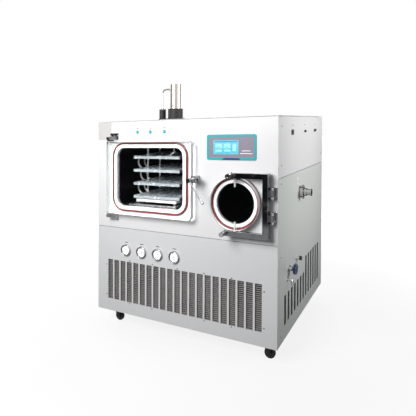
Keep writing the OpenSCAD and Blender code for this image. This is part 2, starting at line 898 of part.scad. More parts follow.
// Flange round the vessel's mouth: the bright land, and the tongue that holds the gasket
module trap_flange() {
  color("silver") in_cabinet() at_trap() difference() {
    union() {
      bar_y(2*trap_land, -land_out, 0);
      bar_y(2*trap_seal - 6, -tongue_t, 0);
    }
    bar_y(2*(vessel_r + rest_gap), -land_out - cut, cut);
  }
}

module trap_gasket() {
  color("firebrick") in_cabinet() at_trap() difference() {
    union() {
      bar_y(2*trap_seal, gasket_y + 1.5, -rest_gap);
      bar_y(2*trap_seal - 4, gasket_y, gasket_y + 1.5);
    }
    bar_y(2*trap_land, gasket_y - cut, 0);
    bar_y(2*trap_seal - 6, -tongue_t, 0);
    difference() {
      bar_y(trap_land + trap_seal + 2, gasket_y - cut, gasket_y + 2);
      bar_y(trap_land + trap_seal - 2, gasket_y - 2*cut, gasket_y + 3);
    }
  }
}

coil_r = vessel_r + coil_d/2 + fit;
coil_y0 = 34;
coil_y1 = coil_y0 + (coil_turns - 1)*coil_pitch;

// Turns of tube round the vessel's wall, joined by a header on each side
module trap_coil() {
  color("peru") in_cabinet() at_trap() {
    for (i = [0:coil_turns - 1])
      translate([0, coil_y0 + i*coil_pitch, 0]) rotate([90, 0, 0])
        rotate_extrude() translate([coil_r, 0]) circle(d = coil_d);
    for (a = [60, 240]) rotate([0, a, 0]) translate([coil_r, 0, 0])
      bar_y(coil_d - 2, coil_y0, coil_y1);
  }
}

module trap_disc() {
  color("aliceblue", 0.4) in_cabinet() at_trap() bar_y(2*trap_seal, arm_back, disc_back);
}

arm_x = [8, -30];
module trap_frame() {
  color("silver") in_cabinet() at_trap() difference() {
    union() {
      block([upright_x, arm_front, -frame_h/2], [upright_x + bar_w, -15, frame_h/2]);
      for (s = [0, 1]) {
        z = s == 0 ? arm_up : -arm_up;
        block([knob_x[s], arm_front, z - bar_w/2], [upright_x + 1, arm_back, z + bar_w/2]);
        translate([knob_x[s], 0, z]) bar_y(bar_w, arm_front, arm_back);
      }
      for (s = [-1, 1]) translate([0, 0, s*knuckle_pitch/2]) {
        h = knuckle_h - 24;
        block([upright_x + bar_w - 1, -29, -h/2], [upright_x + bar_w + hinge_out, -15, h/2]);
        translate([pin_x - trap_x, pin_y, -h/2]) cylinder(d = knuckle_d, h = h);
      }
    }
    for (s = [0, 1])
      translate([knob_x[s], 0, s == 0 ? arm_up : -arm_up])
        bar_y(shank_d + 2*pin_fit, arm_front - cut, arm_back + cut);
    translate([pin_x - trap_x, pin_y, -frame_h/2])
      cylinder(d = frame_pin_d + 2*pin_fit, h = frame_h);
  }
}

clip_w = 7;
clip_l = 42;
module trap_clips() {
  color("white") in_cabinet() at_trap()
    for (s = [-1, 1]) translate([10, 0, s*(arm_up - bar_w/2)]) {
      inner = s > 0 ? -clip_l : 0;
      block([-clip_w/2, arm_back - 7, inner], [clip_w/2, arm_back, inner + clip_l]);
    }
}

// Ears and pins on the panel that carry the trap door's knuckles
module trap_hinges() {
  color("silver") in_cabinet() translate([pin_x, 0, trap_z])
    for (s = [-1, 1]) translate([0, 0, s*knuckle_pitch/2]) {
      h = knuckle_h/2;
      gap = (knuckle_h - 24)/2 + rest_gap;
      for (e = [-1, 1]) mirror([0, 0, e < 0 ? 1 : 0]) {
        translate([0, pin_y, gap]) cylinder(d = knuckle_d, h = h - gap);
        block([-knuckle_d/2, pin_y, gap], [knuckle_d/2, 0, h]);
      }
      block([-knuckle_d/2, -4, -h], [knuckle_d/2 + 8, 0, h]);
      translate([0, pin_y, -h]) cylinder(d = frame_pin_d, h = 2*h);
    }
  color("silver") in_cabinet() at_trap()
    for (s = [0, 1]) translate([knob_x[s], 0, s == 0 ? arm_up : -arm_up])
      bar_y(post_d, arm_back + knob_gap + 1, 0);
}

// Knurled clamping knob with a cross pin through its head
module clamp_knob(s) {
  color("silver") in_cabinet() at_trap()
    translate([knob_x[s], 0, s == 0 ? arm_up : -arm_up]) {
      y0 = arm_front - rest_gap;
      bar_y(shank_d, y0 - 1, arm_back + knob_gap);
      bar_y(knob_d - 8, y0 - 8, y0);
      difference() {
        bar_y(knob_d, y0 - knob_l, y0 - 7);
        for (a = [0:30:330]) rotate([0, a, 0]) translate([knob_d/2 + 1, 0, 0])
          bar_y(4, y0 - knob_l - cut, y0 - 6);
        bar_y(knob_d - 12, y0 - knob_l - cut, y0 - knob_l + 3);
      }
      rotate([0, -45, 0]) translate([0, y0 - 22, 0]) bar_x(6, -2, 26);
    }
}
module trap_knob_top() { clamp_knob(0); }
module trap_knob_bottom() { clamp_knob(1); }

// ---- Controls ----
module control_panel() {
  color("mediumturquoise") in_cabinet() translate([ctrl_x, 0, ctrl_z]) difference() {
    union() {
      between_y(-ctrl_out, 0) rounded(ctrl_w, ctrl_h, ctrl_r);
      block([-ctrl_w/2 + 13, -1, -ctrl_h/2 + 13], [ctrl_w/2 - 13, ctrl_box, ctrl_h/2 - 13]);
    }
    between_y(-ctrl_out - cut, -ctrl_out + 1) rounded(ctrl_w - 24, ctrl_h - 24, 4);
    block([-screen_w/2 - screen_shift, -ctrl_out, -screen_h/2],
      [screen_w/2 - screen_shift, 4, screen_h/2]);
  }
}

module touch_screen() {
  color("deepskyblue") in_cabinet() translate([ctrl_x - screen_shift, 0, ctrl_z])
    block([-screen_w/2 + 0.2, -ctrl_out + 1.2, -screen_h/2 + 0.2],
      [screen_w/2 - 0.2, 4, screen_h/2 - 0.2]);
}

module push_button(i) {
  in_cabinet() translate([button_x(i), 0, button_z]) {
    bar_y(button_d, -button_out, sheet + button_travel + 3);
    bar_y(button_d + 5, sheet + rest_gap, sheet + rest_gap + 3);
  }
}
module button_green() { color("mediumseagreen") push_button(0); }
module button_middle() { color("powderblue") push_button(1); }
module button_right() { color("skyblue") push_button(2); }

module at_gauges() {
  for (i = [0:3]) translate([gauge_x + i*gauge_pitch, 0, gauge_z]) children();
}

gauge_case = 32;
module gauge_cases() {
  color("silver") in_cabinet() at_gauges() difference() {
    union() {
      bar_y(gauge_d, -gauge_out, 0);
      bar_y(gauge_d - 6, 0, gauge_case);
      bar_y(14, gauge_case, gauge_case + 14);
    }
    bar_y(gauge_d - 7, -gauge_out - cut, -2);
    bar_y(gauge_d - 16, -3, gauge_case - 4);
  }
}

gauge_angle = [150, 90, 25, 130];
module gauge_dials() {
  color("white") in_cabinet()
    for (i = [0:3]) translate([gauge_x + i*gauge_pitch, 0, gauge_z]) {
      bar_y(gauge_d - 7.6, -3, -2);
      bar_y(7, -6, -3);
      rotate([0, gauge_angle[i], 0]) block([-1, -4.6, -8], [1, -3.6, gauge_d/2 - 11]);
    }
}

// ---- Side fittings ----
module on_side(y, z) {
  translate([half_w, y, z]) children();
}

// Switch frame, fuse holder, twin socket and mains inlet
fuse_step = 236;
socket_step = 470;
switch_l = 29;
switch_h = 21;
module electrical_fittings() {
  color("black") in_cabinet() {
    on_side(switch_y, switch_z) difference() {
      union() {
        block([0, -switch_l/2 - 4.5, -switch_h/2 - 3.5], [2.5, switch_l/2 + 4.5, switch_h/2 + 3.5]);
        block([-26, -switch_l/2, -switch_h/2], [1, switch_l/2, switch_h/2]);
      }
      block([-20, 2.5 - switch_l/2, 2 - switch_h/2], [4, switch_l/2 - 2.5, switch_h/2 - 2]);
    }
    on_side(switch_y + fuse_step, switch_z) bar_x(14, 0, 9);
    on_side(switch_y + socket_step, switch_z) {
      block([0, -18, -8], [3, 18, 8]);
      for (y = [-9, 9]) translate([0, y, 0]) bar_x(9, 0, 8);
    }
    translate([inlet_x, cab_d, inlet_z]) difference() {
      block([-inlet_w/2, -22, -inlet_h/2], [inlet_w/2, 0, inlet_h/2]);
      block([8.5 - inlet_w/2, -17, 5.5 - inlet_h/2], [inlet_w/2 - 8.5, cut, inlet_h/2 - 5.5]);
    }
  }
}

rocker_tilt = 9;
module switch_rocker() {
  color("black") in_cabinet() on_side(switch_y, switch_z)
    translate([-3, 0, 0]) {
      intersection() {
        rotate([0, 0, rocker_tilt]) block([-6, -11, -8], [6, 11, 8]);
        block([-12, -11.6, -8], [8, 11.6, 8]);
      }
      translate([0, 0, -8]) cylinder(d = 7, h = 16);
    }
}

module vacuum_port() {
  color("silver") in_cabinet() on_side(port_y, port_z) difference() {
    union() {
      bar_x(62, 0, 4);
      bar_x(port_d, 0, port_reach);
      bar_x(port_flange, port_reach - 5, port_reach);
      bar_x(port_d + 9, 30, 40);
      bar_x(56, 8, 24);
      block([8, -9, -36], [24, 9, 36]);
      for (s = [-1, 1]) translate([16, -14, s*32]) bar_y(9, 0, 28);
      for (a = [45:90:315]) rotate([a, 0, 0]) translate([0, 0, 25]) bar_x(8, 0, 7);
    }
    bar_x(port_bore, -cut, port_reach + cut);
  }
}

module valve_bodies() {
  color("silver") in_cabinet() {
    on_side(drain_y, drain_z) {
      bar_x(drain_seat, 0, 4);
      bar_x(20, 0, 18);
      bar_x(26, 8, 15);
      bar_x(9, 0, drain_stem);
    }
    on_side(vent_y, vent_z) {
      rotate([0, 90, 0]) cylinder(d = 20, h = 9, $fn = 6);
      bar_x(12, 0, 16);
      bar_x(6, 0, 24);
    }
    on_side(drain_y - 32, drain_z - 44) {
      bar_x(22, 0, 3);
      bar_x(11, 0, 18);
      translate([18, 0, -8]) rotate([90, 0, 0])
        rotate_extrude(angle = 90) translate([8, 0]) circle(d = 11);
      translate([26, 0, -26]) cylinder(d = 11, h = 18);
    }
  }
}

module drain_handwheel() {
  color("royalblue") in_cabinet() on_side(drain_y, drain_z) difference() {
    union() {
      bar_x(wheel_d, 26, 26 + wheel_t);
      bar_x(16, 19, 26 + wheel_t + 2);
    }
    for (a = [0:45:315]) rotate([a, 0, 0]) translate([0, 0, wheel_d/2 + 3])
      bar_x(12, 25, 27 + wheel_t);
    difference() {
      bar_x(wheel_d - 14, 24 + wheel_t, 30 + wheel_t);
      bar_x(17, 24, 30 + wheel_t);
    }
    bar_x(9 + 2*pin_fit, 18, drain_stem + rest_gap);
  }
}

module vent_knob() {
  color("black") in_cabinet() on_side(vent_y, vent_z) difference() {
    bar_x(vent_d, 16 + rest_gap, 28);
    for (a = [0:60:300]) rotate([a, 0, 0]) translate([0, 0, vent_d/2 + 1])
      bar_x(5, 18, 29);
    bar_x(6 + 2*pin_fit, 15, 24 + rest_gap);
  }
}

// ---- Casters ----
caster_x = half_w - caster_in;
caster_y0 = caster_in;
caster_y1 = cab_d - caster_in;
axle_z = caster_d/2 - base_h;
plate_t = 4;
fork_gap = 1;
cheek_t = 3;

module caster_plate() {
  block([-38, -45, -plate_t], [38, 45, 0]);
  for (x = [-28, 28], y = [-35, 35]) translate([x, y, -plate_t - 5]) cylinder(d = 12, h = 5, $fn = 6);
}

// Two cheeks and the axle that carry a wheel below a level
module caster_cheeks(z1, top_w) {
  for (s = [-1, 1]) difference() {
    x0 = s > 0 ? caster_w/2 + fork_gap : -caster_w/2 - fork_gap - cheek_t;
    union() {
      translate([0, trail, axle_z]) bar_x(22, x0, x0 + cheek_t);
      between_x(x0, x0 + cheek_t)
        polygon([[trail - 11, axle_z], [trail + 11, axle_z], [top_w, z1], [-top_w, z1]]);
    }
  }
  translate([0, trail, axle_z])
    bar_x(axle_d, -caster_w/2 - fork_gap - cheek_t - 3, caster_w/2 + fork_gap + cheek_t + 3);
}

fork_top = -plate_t - rest_gap;
crown_t = 5;
module swivel_fork() {
  w = caster_w/2 + fork_gap + cheek_t;
  translate([0, 0, fork_top - crown_t]) cylinder(d = 2*w + 8, h = crown_t);
  translate([0, 0, fork_top - 1]) cylinder(d = 12, h = 1 + rest_gap + plate_t - 1);
  caster_cheeks(fork_top - crown_t, 16);
}

module caster_brackets() {
  color("dimgray") in_cabinet() {
    for (s = [-1, 1]) {
      translate([s*caster_x, caster_y0, 0]) difference() {
        caster_plate();
        translate([0, 0, -plate_t - cut]) cylinder(d = 12 + 2*pin_fit, h = plate_t + cut - 0.5);
      }
      translate([s*caster_x, caster_y1 - trail, 0]) {
        caster_plate();
        translate([0, 0, -plate_t]) {
          w = caster_w/2 + fork_gap + cheek_t;
          block([-w, -20, -crown_t], [w, 20, 0]);
        }
        caster_cheeks(-plate_t - crown_t, 20);
      }
    }
  }
}

module caster_fork_left() {
  color("dimgray") in_cabinet() translate([-caster_x, caster_y0, 0]) rotate([0, 0, fork_turn]) swivel_fork();
}
module caster_fork_right() {
  color("dimgray") in_cabinet() translate([caster_x, caster_y0, 0]) rotate([0, 0, fork_turn]) swivel_fork();
}

module caster_wheel(x, y, turn) {
  color("black") in_cabinet() translate([x, y, axle_z]) rotate([0, 0, turn]) translate([0, trail, 0])
  difference() {
    union() {
      bar_x(caster_d, -caster_w/2 + 3, caster_w/2 - 3);
      bar_x(caster_d - 6, -caster_w/2 + 1, caster_w/2 - 1);
      bar_x(axle_d + 10, -caster_w/2, caster_w/2);
    }
    bar_x(axle_d + 2*pin_fit, -caster_w, caster_w);
  }
}
module wheel_front_left() { caster_wheel(-caster_x, caster_y0, fork_turn); }
module wheel_front_right() { caster_wheel(caster_x, caster_y0, fork_turn); }
module wheel_rear_left() { caster_wheel(-caster_x, caster_y1 - trail, 0); }
module wheel_rear_right() { caster_wheel(caster_x, caster_y1 - trail, 0); }

// ---- Refrigeration ----
comp_x = half_w - comp_side;
comp_y = cab_d - comp_back;
comp_r = 92;
comp_body = 190;
comp_crown = 40;
comp_rise = 24;
comp_foot = 105;
module compressor() {
  shoulder = comp_rise + comp_body;
  color("black") in_cabinet() translate([comp_x, comp_y, floor_t]) {
    rotate_extrude() {
      translate([0, comp_rise]) square([comp_r, comp_body]);
      translate([0, shoulder]) square([comp_r - comp_crown, comp_crown]);
      translate([comp_r - comp_crown, shoulder]) intersection() {
        circle(comp_crown);
        square(comp_crown);
      }
    }
    block([-comp_foot, -comp_foot, 10], [comp_foot, comp_foot, comp_rise + 2]);
    for (x = [15 - comp_foot, comp_foot - 15], y = [15 - comp_foot, comp_foot - 15])
      translate([x, y, 0]) cylinder(d = 26, h = 12);
    block([comp_r - 6, -34, comp_body - 80], [comp_r + 40, 34, comp_body - 10]);
    translate([0, 0, shoulder + comp_crown - 4]) cylinder(d = 14, h = 26);
  }
}

cond_x = 60;
cond_y = 80;
cond_w = 420;
cond_h = 300;
cond_d = 66;
cond_rise = 8;
header_d = 16;
fan_r = 118;
fan_y = 34;
motor_y = 72;
motor_d = 70;
arm_x0 = 130;
// Fin block with a header tube at each corner, the fan's shroud, and its motor on a bracket
module condenser() {
  mid = cond_rise + cond_h/2;
  color("darkgray") in_cabinet() translate([cond_x, cond_y, floor_t]) {
    block([-cond_w/2, 0, cond_rise], [cond_w/2, cond_d, cond_rise + cond_h]);
    for (s = [-1, 1], y = [header_d, cond_d - header_d])
      translate([s*(cond_w + header_d)/2, y, 0]) cylinder(d = header_d + 4, h = cond_h + 12);
    block([-cond_w/2 - header_d, 0, 0], [cond_w/2 + header_d, cond_d, cond_rise + 1]);
    difference() {
      block([-cond_w/2, cond_d, cond_rise], [cond_w/2, cond_d + 4, cond_rise + cond_h]);
      translate([0, 0, mid]) bar_y(2*fan_r + 12, cond_d - cut, cond_d + 4 + cut);
    }
    translate([0, cond_d + motor_y, mid]) bar_y(motor_d, 0, 70);
    translate([0, cond_d, mid]) bar_y(10, fan_y - 8, motor_y + 1);
    for (s = [-1, 1]) {
      block([s*arm_x0 - 5, cond_d, mid - 8], [s*arm_x0 + 5, cond_d + motor_y + 20, mid + 8]);
      block([min(s*(motor_d/2 - 1), s*arm_x0), cond_d + motor_y + 10, mid - 8],
        [max(s*(motor_d/2 - 1), s*arm_x0), cond_d + motor_y + 20, mid + 8]);
    }
  }
}

module condenser_fan() {
  color("dimgray") in_cabinet()
    translate([cond_x, cond_y + cond_d, floor_t + cond_rise + cond_h/2]) difference() {
      union() {
        bar_y(52, fan_y, fan_y + 30);
        for (a = [0:72:288]) rotate([0, a, 0]) translate([22, 48, 0]) rotate([28, 0, 0])
          translate([0, -2, -30]) cube([fan_r - 22 - 6, 3, 60]);
      }
      bar_y(10 + 2*pin_fit, fan_y - cut, fan_y + 30 + cut);
    }
}

base_frame();
front_upper_panel();
front_lower_panel();
right_upper_panel();
right_lower_panel();
left_panel();
top_panel();
rear_panel();
grille_inserts();
chamber_body();
chamber_gasket();
door_panel();
door_hinge_leaves();
door_hinge_brackets();
latch_base();
latch_dog();
latch_lever();
pressure_plate();
shelf_upper();
shelf_middle();
shelf_lower();
shelf_stand();
shelf_hoses();
product_tray();
press_ram();
press_cylinder();
press_base();
trap_vessel();
trap_flange();
trap_gasket();
trap_coil();
trap_disc();
trap_frame();
trap_clips();
trap_hinges();
trap_knob_top();
trap_knob_bottom();
control_panel();
touch_screen();
button_green();
button_middle();
button_right();
gauge_cases();
gauge_dials();
electrical_fittings();
switch_rocker();
vacuum_port();
valve_bodies();
drain_handwheel();
vent_knob();
caster_brackets();
caster_fork_left();
caster_fork_right();
wheel_front_left();
wheel_front_right();
wheel_rear_left();
wheel_rear_right();
compressor();
condenser();
condenser_fan();
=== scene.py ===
"""Looks of a pilot freeze dryer: finishes, dressed pieces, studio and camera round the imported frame."""

import json
import logging
import math
from collections.abc import Callable, Sequence
from dataclasses import dataclass
from enum import Enum
from typing import ClassVar

import bmesh
import bpy
import numpy as np
from mathutils import Matrix, Vector


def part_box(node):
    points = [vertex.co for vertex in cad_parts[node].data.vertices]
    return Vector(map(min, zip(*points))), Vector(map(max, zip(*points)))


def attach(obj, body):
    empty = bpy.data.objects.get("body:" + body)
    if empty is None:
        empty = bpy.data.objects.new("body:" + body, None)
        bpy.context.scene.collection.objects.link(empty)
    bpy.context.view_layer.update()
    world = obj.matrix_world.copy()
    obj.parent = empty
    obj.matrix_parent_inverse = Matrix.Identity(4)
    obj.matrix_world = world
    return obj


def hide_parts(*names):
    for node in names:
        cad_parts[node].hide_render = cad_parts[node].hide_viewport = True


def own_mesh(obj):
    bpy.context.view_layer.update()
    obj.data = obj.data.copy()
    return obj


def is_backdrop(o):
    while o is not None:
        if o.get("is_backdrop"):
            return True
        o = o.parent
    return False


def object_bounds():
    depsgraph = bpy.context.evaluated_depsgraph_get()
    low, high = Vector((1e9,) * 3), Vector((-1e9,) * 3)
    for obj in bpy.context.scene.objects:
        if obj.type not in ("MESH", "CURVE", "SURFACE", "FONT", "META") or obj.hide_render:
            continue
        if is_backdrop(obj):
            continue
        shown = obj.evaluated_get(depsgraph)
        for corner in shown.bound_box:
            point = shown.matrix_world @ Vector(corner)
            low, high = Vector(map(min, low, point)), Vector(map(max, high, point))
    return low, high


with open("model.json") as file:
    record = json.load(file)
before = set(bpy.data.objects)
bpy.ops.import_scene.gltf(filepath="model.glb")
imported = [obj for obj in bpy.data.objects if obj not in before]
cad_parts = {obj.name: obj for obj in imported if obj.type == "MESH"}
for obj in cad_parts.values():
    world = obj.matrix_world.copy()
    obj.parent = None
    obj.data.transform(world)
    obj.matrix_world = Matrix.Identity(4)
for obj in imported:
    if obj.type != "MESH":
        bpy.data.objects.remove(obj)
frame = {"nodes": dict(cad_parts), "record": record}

LOG = logging.getLogger("freeze_dryer")
MM = 0.001
FULL_TURN = 2 * math.pi
SHARP_ANGLE = 32.0
SKIN_WELD = 2e-6
PACKED_WELD = 1e-5
Colour = tuple[float, float, float]


# ---------------------------------------------------------------- places

@dataclass(frozen=True)
class Cabinet:
    """The cabinet's own axes: X from its middle, Y back from its front, Z up from its shell.

    Every size and place in this script is in millimetres along these axes.
    """

    origin: tuple[float, float, float]

    @classmethod
    def measured(cls) -> "Cabinet":
        """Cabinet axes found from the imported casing."""
        low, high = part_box("top_panel")
        under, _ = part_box("base_frame")
        return cls(((low.x + high.x) / 2, low.y, under.z))

    def metres(self, points: np.ndarray) -> np.ndarray:
        """Places in the frame's metres for points in cabinet millimetres."""
        return np.asarray(points, float) * MM + np.array(self.origin)

    def box(self, node: str) -> tuple[np.ndarray, np.ndarray]:
        """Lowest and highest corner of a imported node, in cabinet millimetres."""
        low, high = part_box(node)
        return tuple((np.array(corner) - self.origin) / MM for corner in (low, high))

    def middle(self, node: str) -> np.ndarray:
        """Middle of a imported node's box, in cabinet millimetres."""
        low, high = self.box(node)
        return (low + high) / 2


CABINET = Cabinet.measured()


class Face(Enum):
    """Which way a skin drawn over its own X and Y faces: where its X, Y and Z point."""

    FRONT = ((1, 0, 0), (0, 0, 1), (0, -1, 0))
    BACK = ((-1, 0, 0), (0, 0, 1), (0, 1, 0))
    RIGHT = ((0, 1, 0), (0, 0, 1), (1, 0, 0))
    TOP = ((1, 0, 0), (0, 1, 0), (0, 0, 1))


# ---------------------------------------------------------------- outlines

def rounded(width: float, height: float, radius: float, steps: int = 8) -> np.ndarray:
    """Outline of a rounded rectangle about the origin: a quarter circle at each corner in turn.

    Args:
        width: Size along X.
        height: Size along Y.
        radius: Radius of the corners.
        steps: Points on each corner.

    Returns:
        Points of the outline, against the clock.
    """
    turn = np.linspace(0, math.pi / 2, steps) + np.arange(4)[:, None] * math.pi / 2
    signs = np.array([(1, 1), (-1, 1), (-1, -1), (1, -1)])
    centres = signs * (width / 2 - radius, height / 2 - radius)
    corners = centres[:, None] + radius * np.stack([np.cos(turn), np.sin(turn)], -1)
    return corners.reshape(-1, 2)


def circle(radius: float, steps: int = 48) -> np.ndarray:
    """Outline of a circle about the origin, against the clock."""
    turn = np.linspace(0, FULL_TURN, steps, endpoint=False)
    return radius * np.column_stack([np.cos(turn), np.sin(turn)])


def inset(outline: np.ndarray, distance: float) -> np.ndarray:
    """Convex outline whose edges have all moved inwards by one distance and meet again."""
    edge = np.roll(outline, -1, 0) - outline
    inward = np.column_stack([-edge[:, 1], edge[:, 0]]) / np.linalg.norm(edge, axis=1)[:, None]
    before = np.roll(inward, 1, 0)
    return outline + distance * (inward + before) / (1 + (inward * before).sum(1))[:, None]


# ---------------------------------------------------------------- skins

@dataclass
class Skin:
    """A surface in cabinet millimetres: points, faces over them, a finish number per face."""

    points: np.ndarray
    faces: list[list[int]]
    tints: list[int]
    uv: np.ndarray | None = None

    @classmethod
    def grid(cls, points: np.ndarray, across: bool = False, along: bool = False,
             tint: int | Sequence[int] = 0, uv: np.ndarray | None = None) -> "Skin":
        """Quads over a grid of points.

        Args:
            points: Array of rows, columns and coordinates.
            across: Joins the last column to the first.
            along: Joins the last row to the first.
            tint: Finish number, or one per band between rows.
            uv: Texture place of each point.

        Returns:
            The skin.
        """
        rows, columns = points.shape[:2]
        index = np.arange(rows * columns).reshape(rows, columns)
        index = np.vstack([index, index[:1]]) if along else index
        index = np.hstack([index, index[:, :1]]) if across else index
        quads = np.stack([index[:-1, :-1], index[1:, :-1], index[1:, 1:], index[:-1, 1:]], -1)
        tints = np.broadcast_to(np.asarray(tint).reshape(-1, 1), quads.shape[:2])
        flat = None if uv is None else uv.reshape(-1, 2)
        return cls(points.reshape(-1, 3), quads.reshape(-1, 4).tolist(), tints.ravel().tolist(), flat)

    @classmethod
    def lathe(cls, profile: Sequence[tuple[float, float]], steps: int = 64,
              tint: int | Sequence[int] = 0, closed: bool = False) -> "Skin":
        """Profile of (radius, height) pairs turned once round Z; `closed` joins its two ends."""
        radius, height = np.asarray(profile, float).T[..., None]
        turn = np.linspace(0, FULL_TURN, steps, endpoint=False)
        points = np.stack([radius * np.cos(turn), radius * np.sin(turn), height + 0 * turn], -1)
        return cls.grid(points, across=True, along=closed, tint=tint)

    @classmethod
    def stack(cls, outline: np.ndarray, stations: Sequence[tuple[float, float]],
              tints: Sequence[int] | None = None) -> "Skin":
        """Closed solid of one outline at several heights.

        Args:
            outline: Convex outline, against the clock.
            stations: Inset and height of each ring, from the underside up.
            tints: Finish number of the underside, each band and the top.

        Returns:
            The skin, with a cap on both ends.
        """
        count, rings = len(outline), len(stations)
        tints = tints or [0] * (rings + 1)
        points = np.array([np.column_stack([inset(outline, d), np.full(count, h)]) for d, h in stations])
        skin = cls.grid(points, across=True, tint=tints[1:-1])
        ring = np.arange(count)
        skin.faces += [ring[::-1].tolist(), (ring + count * (rings - 1)).tolist()]
        skin.tints += [tints[0], tints[-1]]
        return skin

    @classmethod
    def ring(cls, outer: np.ndarray, inner: np.ndarray, low: float, high: float) -> "Skin":
        """Flat frame between two outlines with the same number of points."""
        loops = [(outer, low), (outer, high), (inner, high), (inner, low)]
        points = np.array([np.column_stack([line, np.full(len(line), z)]) for line, z in loops])
        return cls.grid(points, across=True, along=True)

    @classmethod
    def sweep(cls, path: np.ndarray, section: np.ndarray, up: tuple[float, float, float],
              closed: bool = False, mapped: bool = False) -> "Skin":
        """Section carried along a flat path.

        At each point of the path the section's X lies along the path's direction crossed with
        `up`, and its Y along `up`.

        Args:
            path: Points of the path.
            section: Outline of the section.
            up: Normal of the plane that the path lies in.
            closed: Joins the end of the path to its start.
            mapped: Gives texture places: the length along the path and the share round the section.

        Returns:
            The skin, open at both ends unless closed.
        """
        path = np.asarray(path, float)
        ahead = np.roll(path, -1, 0) - np.roll(path, 1, 0) if closed else np.gradient(path, axis=0)
        ahead /= np.linalg.norm(ahead, axis=1)[:, None]
        aside = np.cross(ahead, up)
        upward = np.cross(aside, ahead)
        section = np.vstack([section, section[:1]]) if mapped else section
        points = (path[:, None] + section[None, :, :1] * aside[:, None]
                  + section[None, :, 1:] * upward[:, None])
        uv = None
        if mapped:
            gone = np.r_[0, np.cumsum(np.linalg.norm(np.diff(path, axis=0), axis=1))]
            share = np.linspace(0, 1, len(section))
            uv = np.stack(np.broadcast_arrays(gone[:, None], share[None]), -1)
        return cls.grid(points, across=not mapped, along=closed, uv=uv)

    @classmethod
    def figures(cls, text: str, height: float, depth: float = 0.1) -> "Skin":
        """Plain figures as thin solids standing on the XY plane, centred on the origin."""
        curve = bpy.data.curves.new("figures", "FONT")
        curve.body, curve.size, curve.extrude = text, height * 1.4, depth / 2
        curve.align_x, curve.align_y, curve.resolution_u = "CENTER", "CENTER", 3
        holder = bpy.data.objects.new("figures", curve)
        bpy.context.scene.collection.objects.link(holder)
        bpy.context.view_layer.update()
        mesh = bpy.data.meshes.new_from_object(holder)
        points = np.array([v.co for v in mesh.vertices]) + (0, 0, depth / 2)
        faces = [list(face.vertices) for face in mesh.polygons]
        bpy.data.objects.remove(holder)
        return cls(points, faces, [0] * len(faces))

    def __add__(self, other: "Skin") -> "Skin":
        """Both skins as one."""
        faces = self.faces + [[i + len(self.points) for i in face] for face in other.faces]
        uv = None if self.uv is None or other.uv is None else np.vstack([self.uv, other.uv])
        return Skin(np.vstack([self.points, other.points]), faces, self.tints + other.tints, uv)

    def tinted(self, tint: int) -> "Skin":
        """The same skin with one finish number on every face."""
        return Skin(self.points, self.faces, [tint] * len(self.faces), self.uv)

    def turned(self, degrees: float) -> "Skin":
        """The same skin turned about its own Z."""
        cosine, sine = math.cos(math.radians(degrees)), math.sin(math.radians(degrees))
        axes = np.array([(cosine, sine, 0), (-sine, cosine, 0), (0, 0, 1)])
        return Skin(self.points @ axes, self.faces, self.tints, self.uv)

    def at(self, x: float, y: float, z: float, face: Face = Face.TOP) -> "Skin":
        """The same skin facing one way, with its origin at a place on the cabinet."""
        points = self.points @ np.array(face.value, float) + (x, y, z)
        return Skin(points, self.faces, self.tints, self.uv)

    def build(self, name: str, *finishes: "Finish", body: str = "cabinet", slot: str | None = None,
              stands_for: Sequence[str] = (), sharp: float = SHARP_ANGLE) -> bpy.types.Object:
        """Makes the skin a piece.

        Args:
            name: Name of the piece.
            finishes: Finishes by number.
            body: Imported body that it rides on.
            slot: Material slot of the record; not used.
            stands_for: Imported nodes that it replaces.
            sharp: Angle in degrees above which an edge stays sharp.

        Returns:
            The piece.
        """
        mesh = bpy.data.meshes.new(name)
        mesh.from_pydata(CABINET.metres(self.points).tolist(), [], self.faces)
        mesh.polygons.foreach_set("material_index", np.array(self.tints, np.int32))
        if self.uv is not None:
            corner = np.zeros(len(mesh.loops), np.int32)
            mesh.loops.foreach_get("vertex_index", corner)
            flat = self.uv[corner].astype(np.float32).ravel()
            mesh.uv_layers.new(name="UVMap").data.foreach_set("uv", flat)
        weld(mesh, SKIN_WELD)
        return finish_piece(name, mesh, finishes, body, stands_for, sharp)


def weld(mesh: bpy.types.Mesh, distance: float, flat: float = 0.0) -> None:
    """Merges points that lie together and turns the faces outwards.

    Args:
        mesh: Mesh to change.
        distance: Greatest distance between merged points, in metres.
        flat: Faces that meet at less than this angle in degrees become one, where it is not 0.
    """
    work = bmesh.new()
    work.from_mesh(mesh)
    bmesh.ops.remove_doubles(work, verts=work.verts, dist=distance)
    if flat:
        bmesh.ops.dissolve_limit(work, angle_limit=math.radians(flat), verts=work.verts, edges=work.edges)
    bmesh.ops.recalc_face_normals(work, faces=work.faces)
    work.to_mesh(mesh)
    work.free()


def finish_piece(name: str, mesh: bpy.types.Mesh, finishes: Sequence["Finish"], body: str,
                 stands_for: Sequence[str], sharp: float) -> bpy.types.Object:
    """Smooths a mesh, gives it its finishes and lets it ride on its body.

    Args:
        name: Name of the piece.
        mesh: Its mesh.
        finishes: Finishes by number.
        body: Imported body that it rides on.
        stands_for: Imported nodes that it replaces.
        sharp: Angle in degrees above which an edge stays sharp.

    Returns:
        The piece.
    """
    mesh.shade_smooth()
    mesh.set_sharp_from_angle(angle=math.radians(sharp))
    while len(mesh.materials):
        mesh.materials.pop()
    for finish in finishes:
        mesh.materials.append(finish.material())
    piece = bpy.data.objects.new(name, mesh)
    bpy.context.scene.collection.objects.link(piece)
    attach(piece, body)
    if stands_for:
        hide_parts(*stands_for)
    LOG.info("built %s with %d faces", name, len(mesh.polygons))
    return piece


def dress(finish: "Finish", *nodes: str) -> None:
    """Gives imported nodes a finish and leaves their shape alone."""
    for node in nodes:
        mesh = frame["nodes"][node].data
        mesh.materials.clear()
        mesh.materials.append(finish.material())
        LOG.info("dressed %s in %s", node, finish.name)


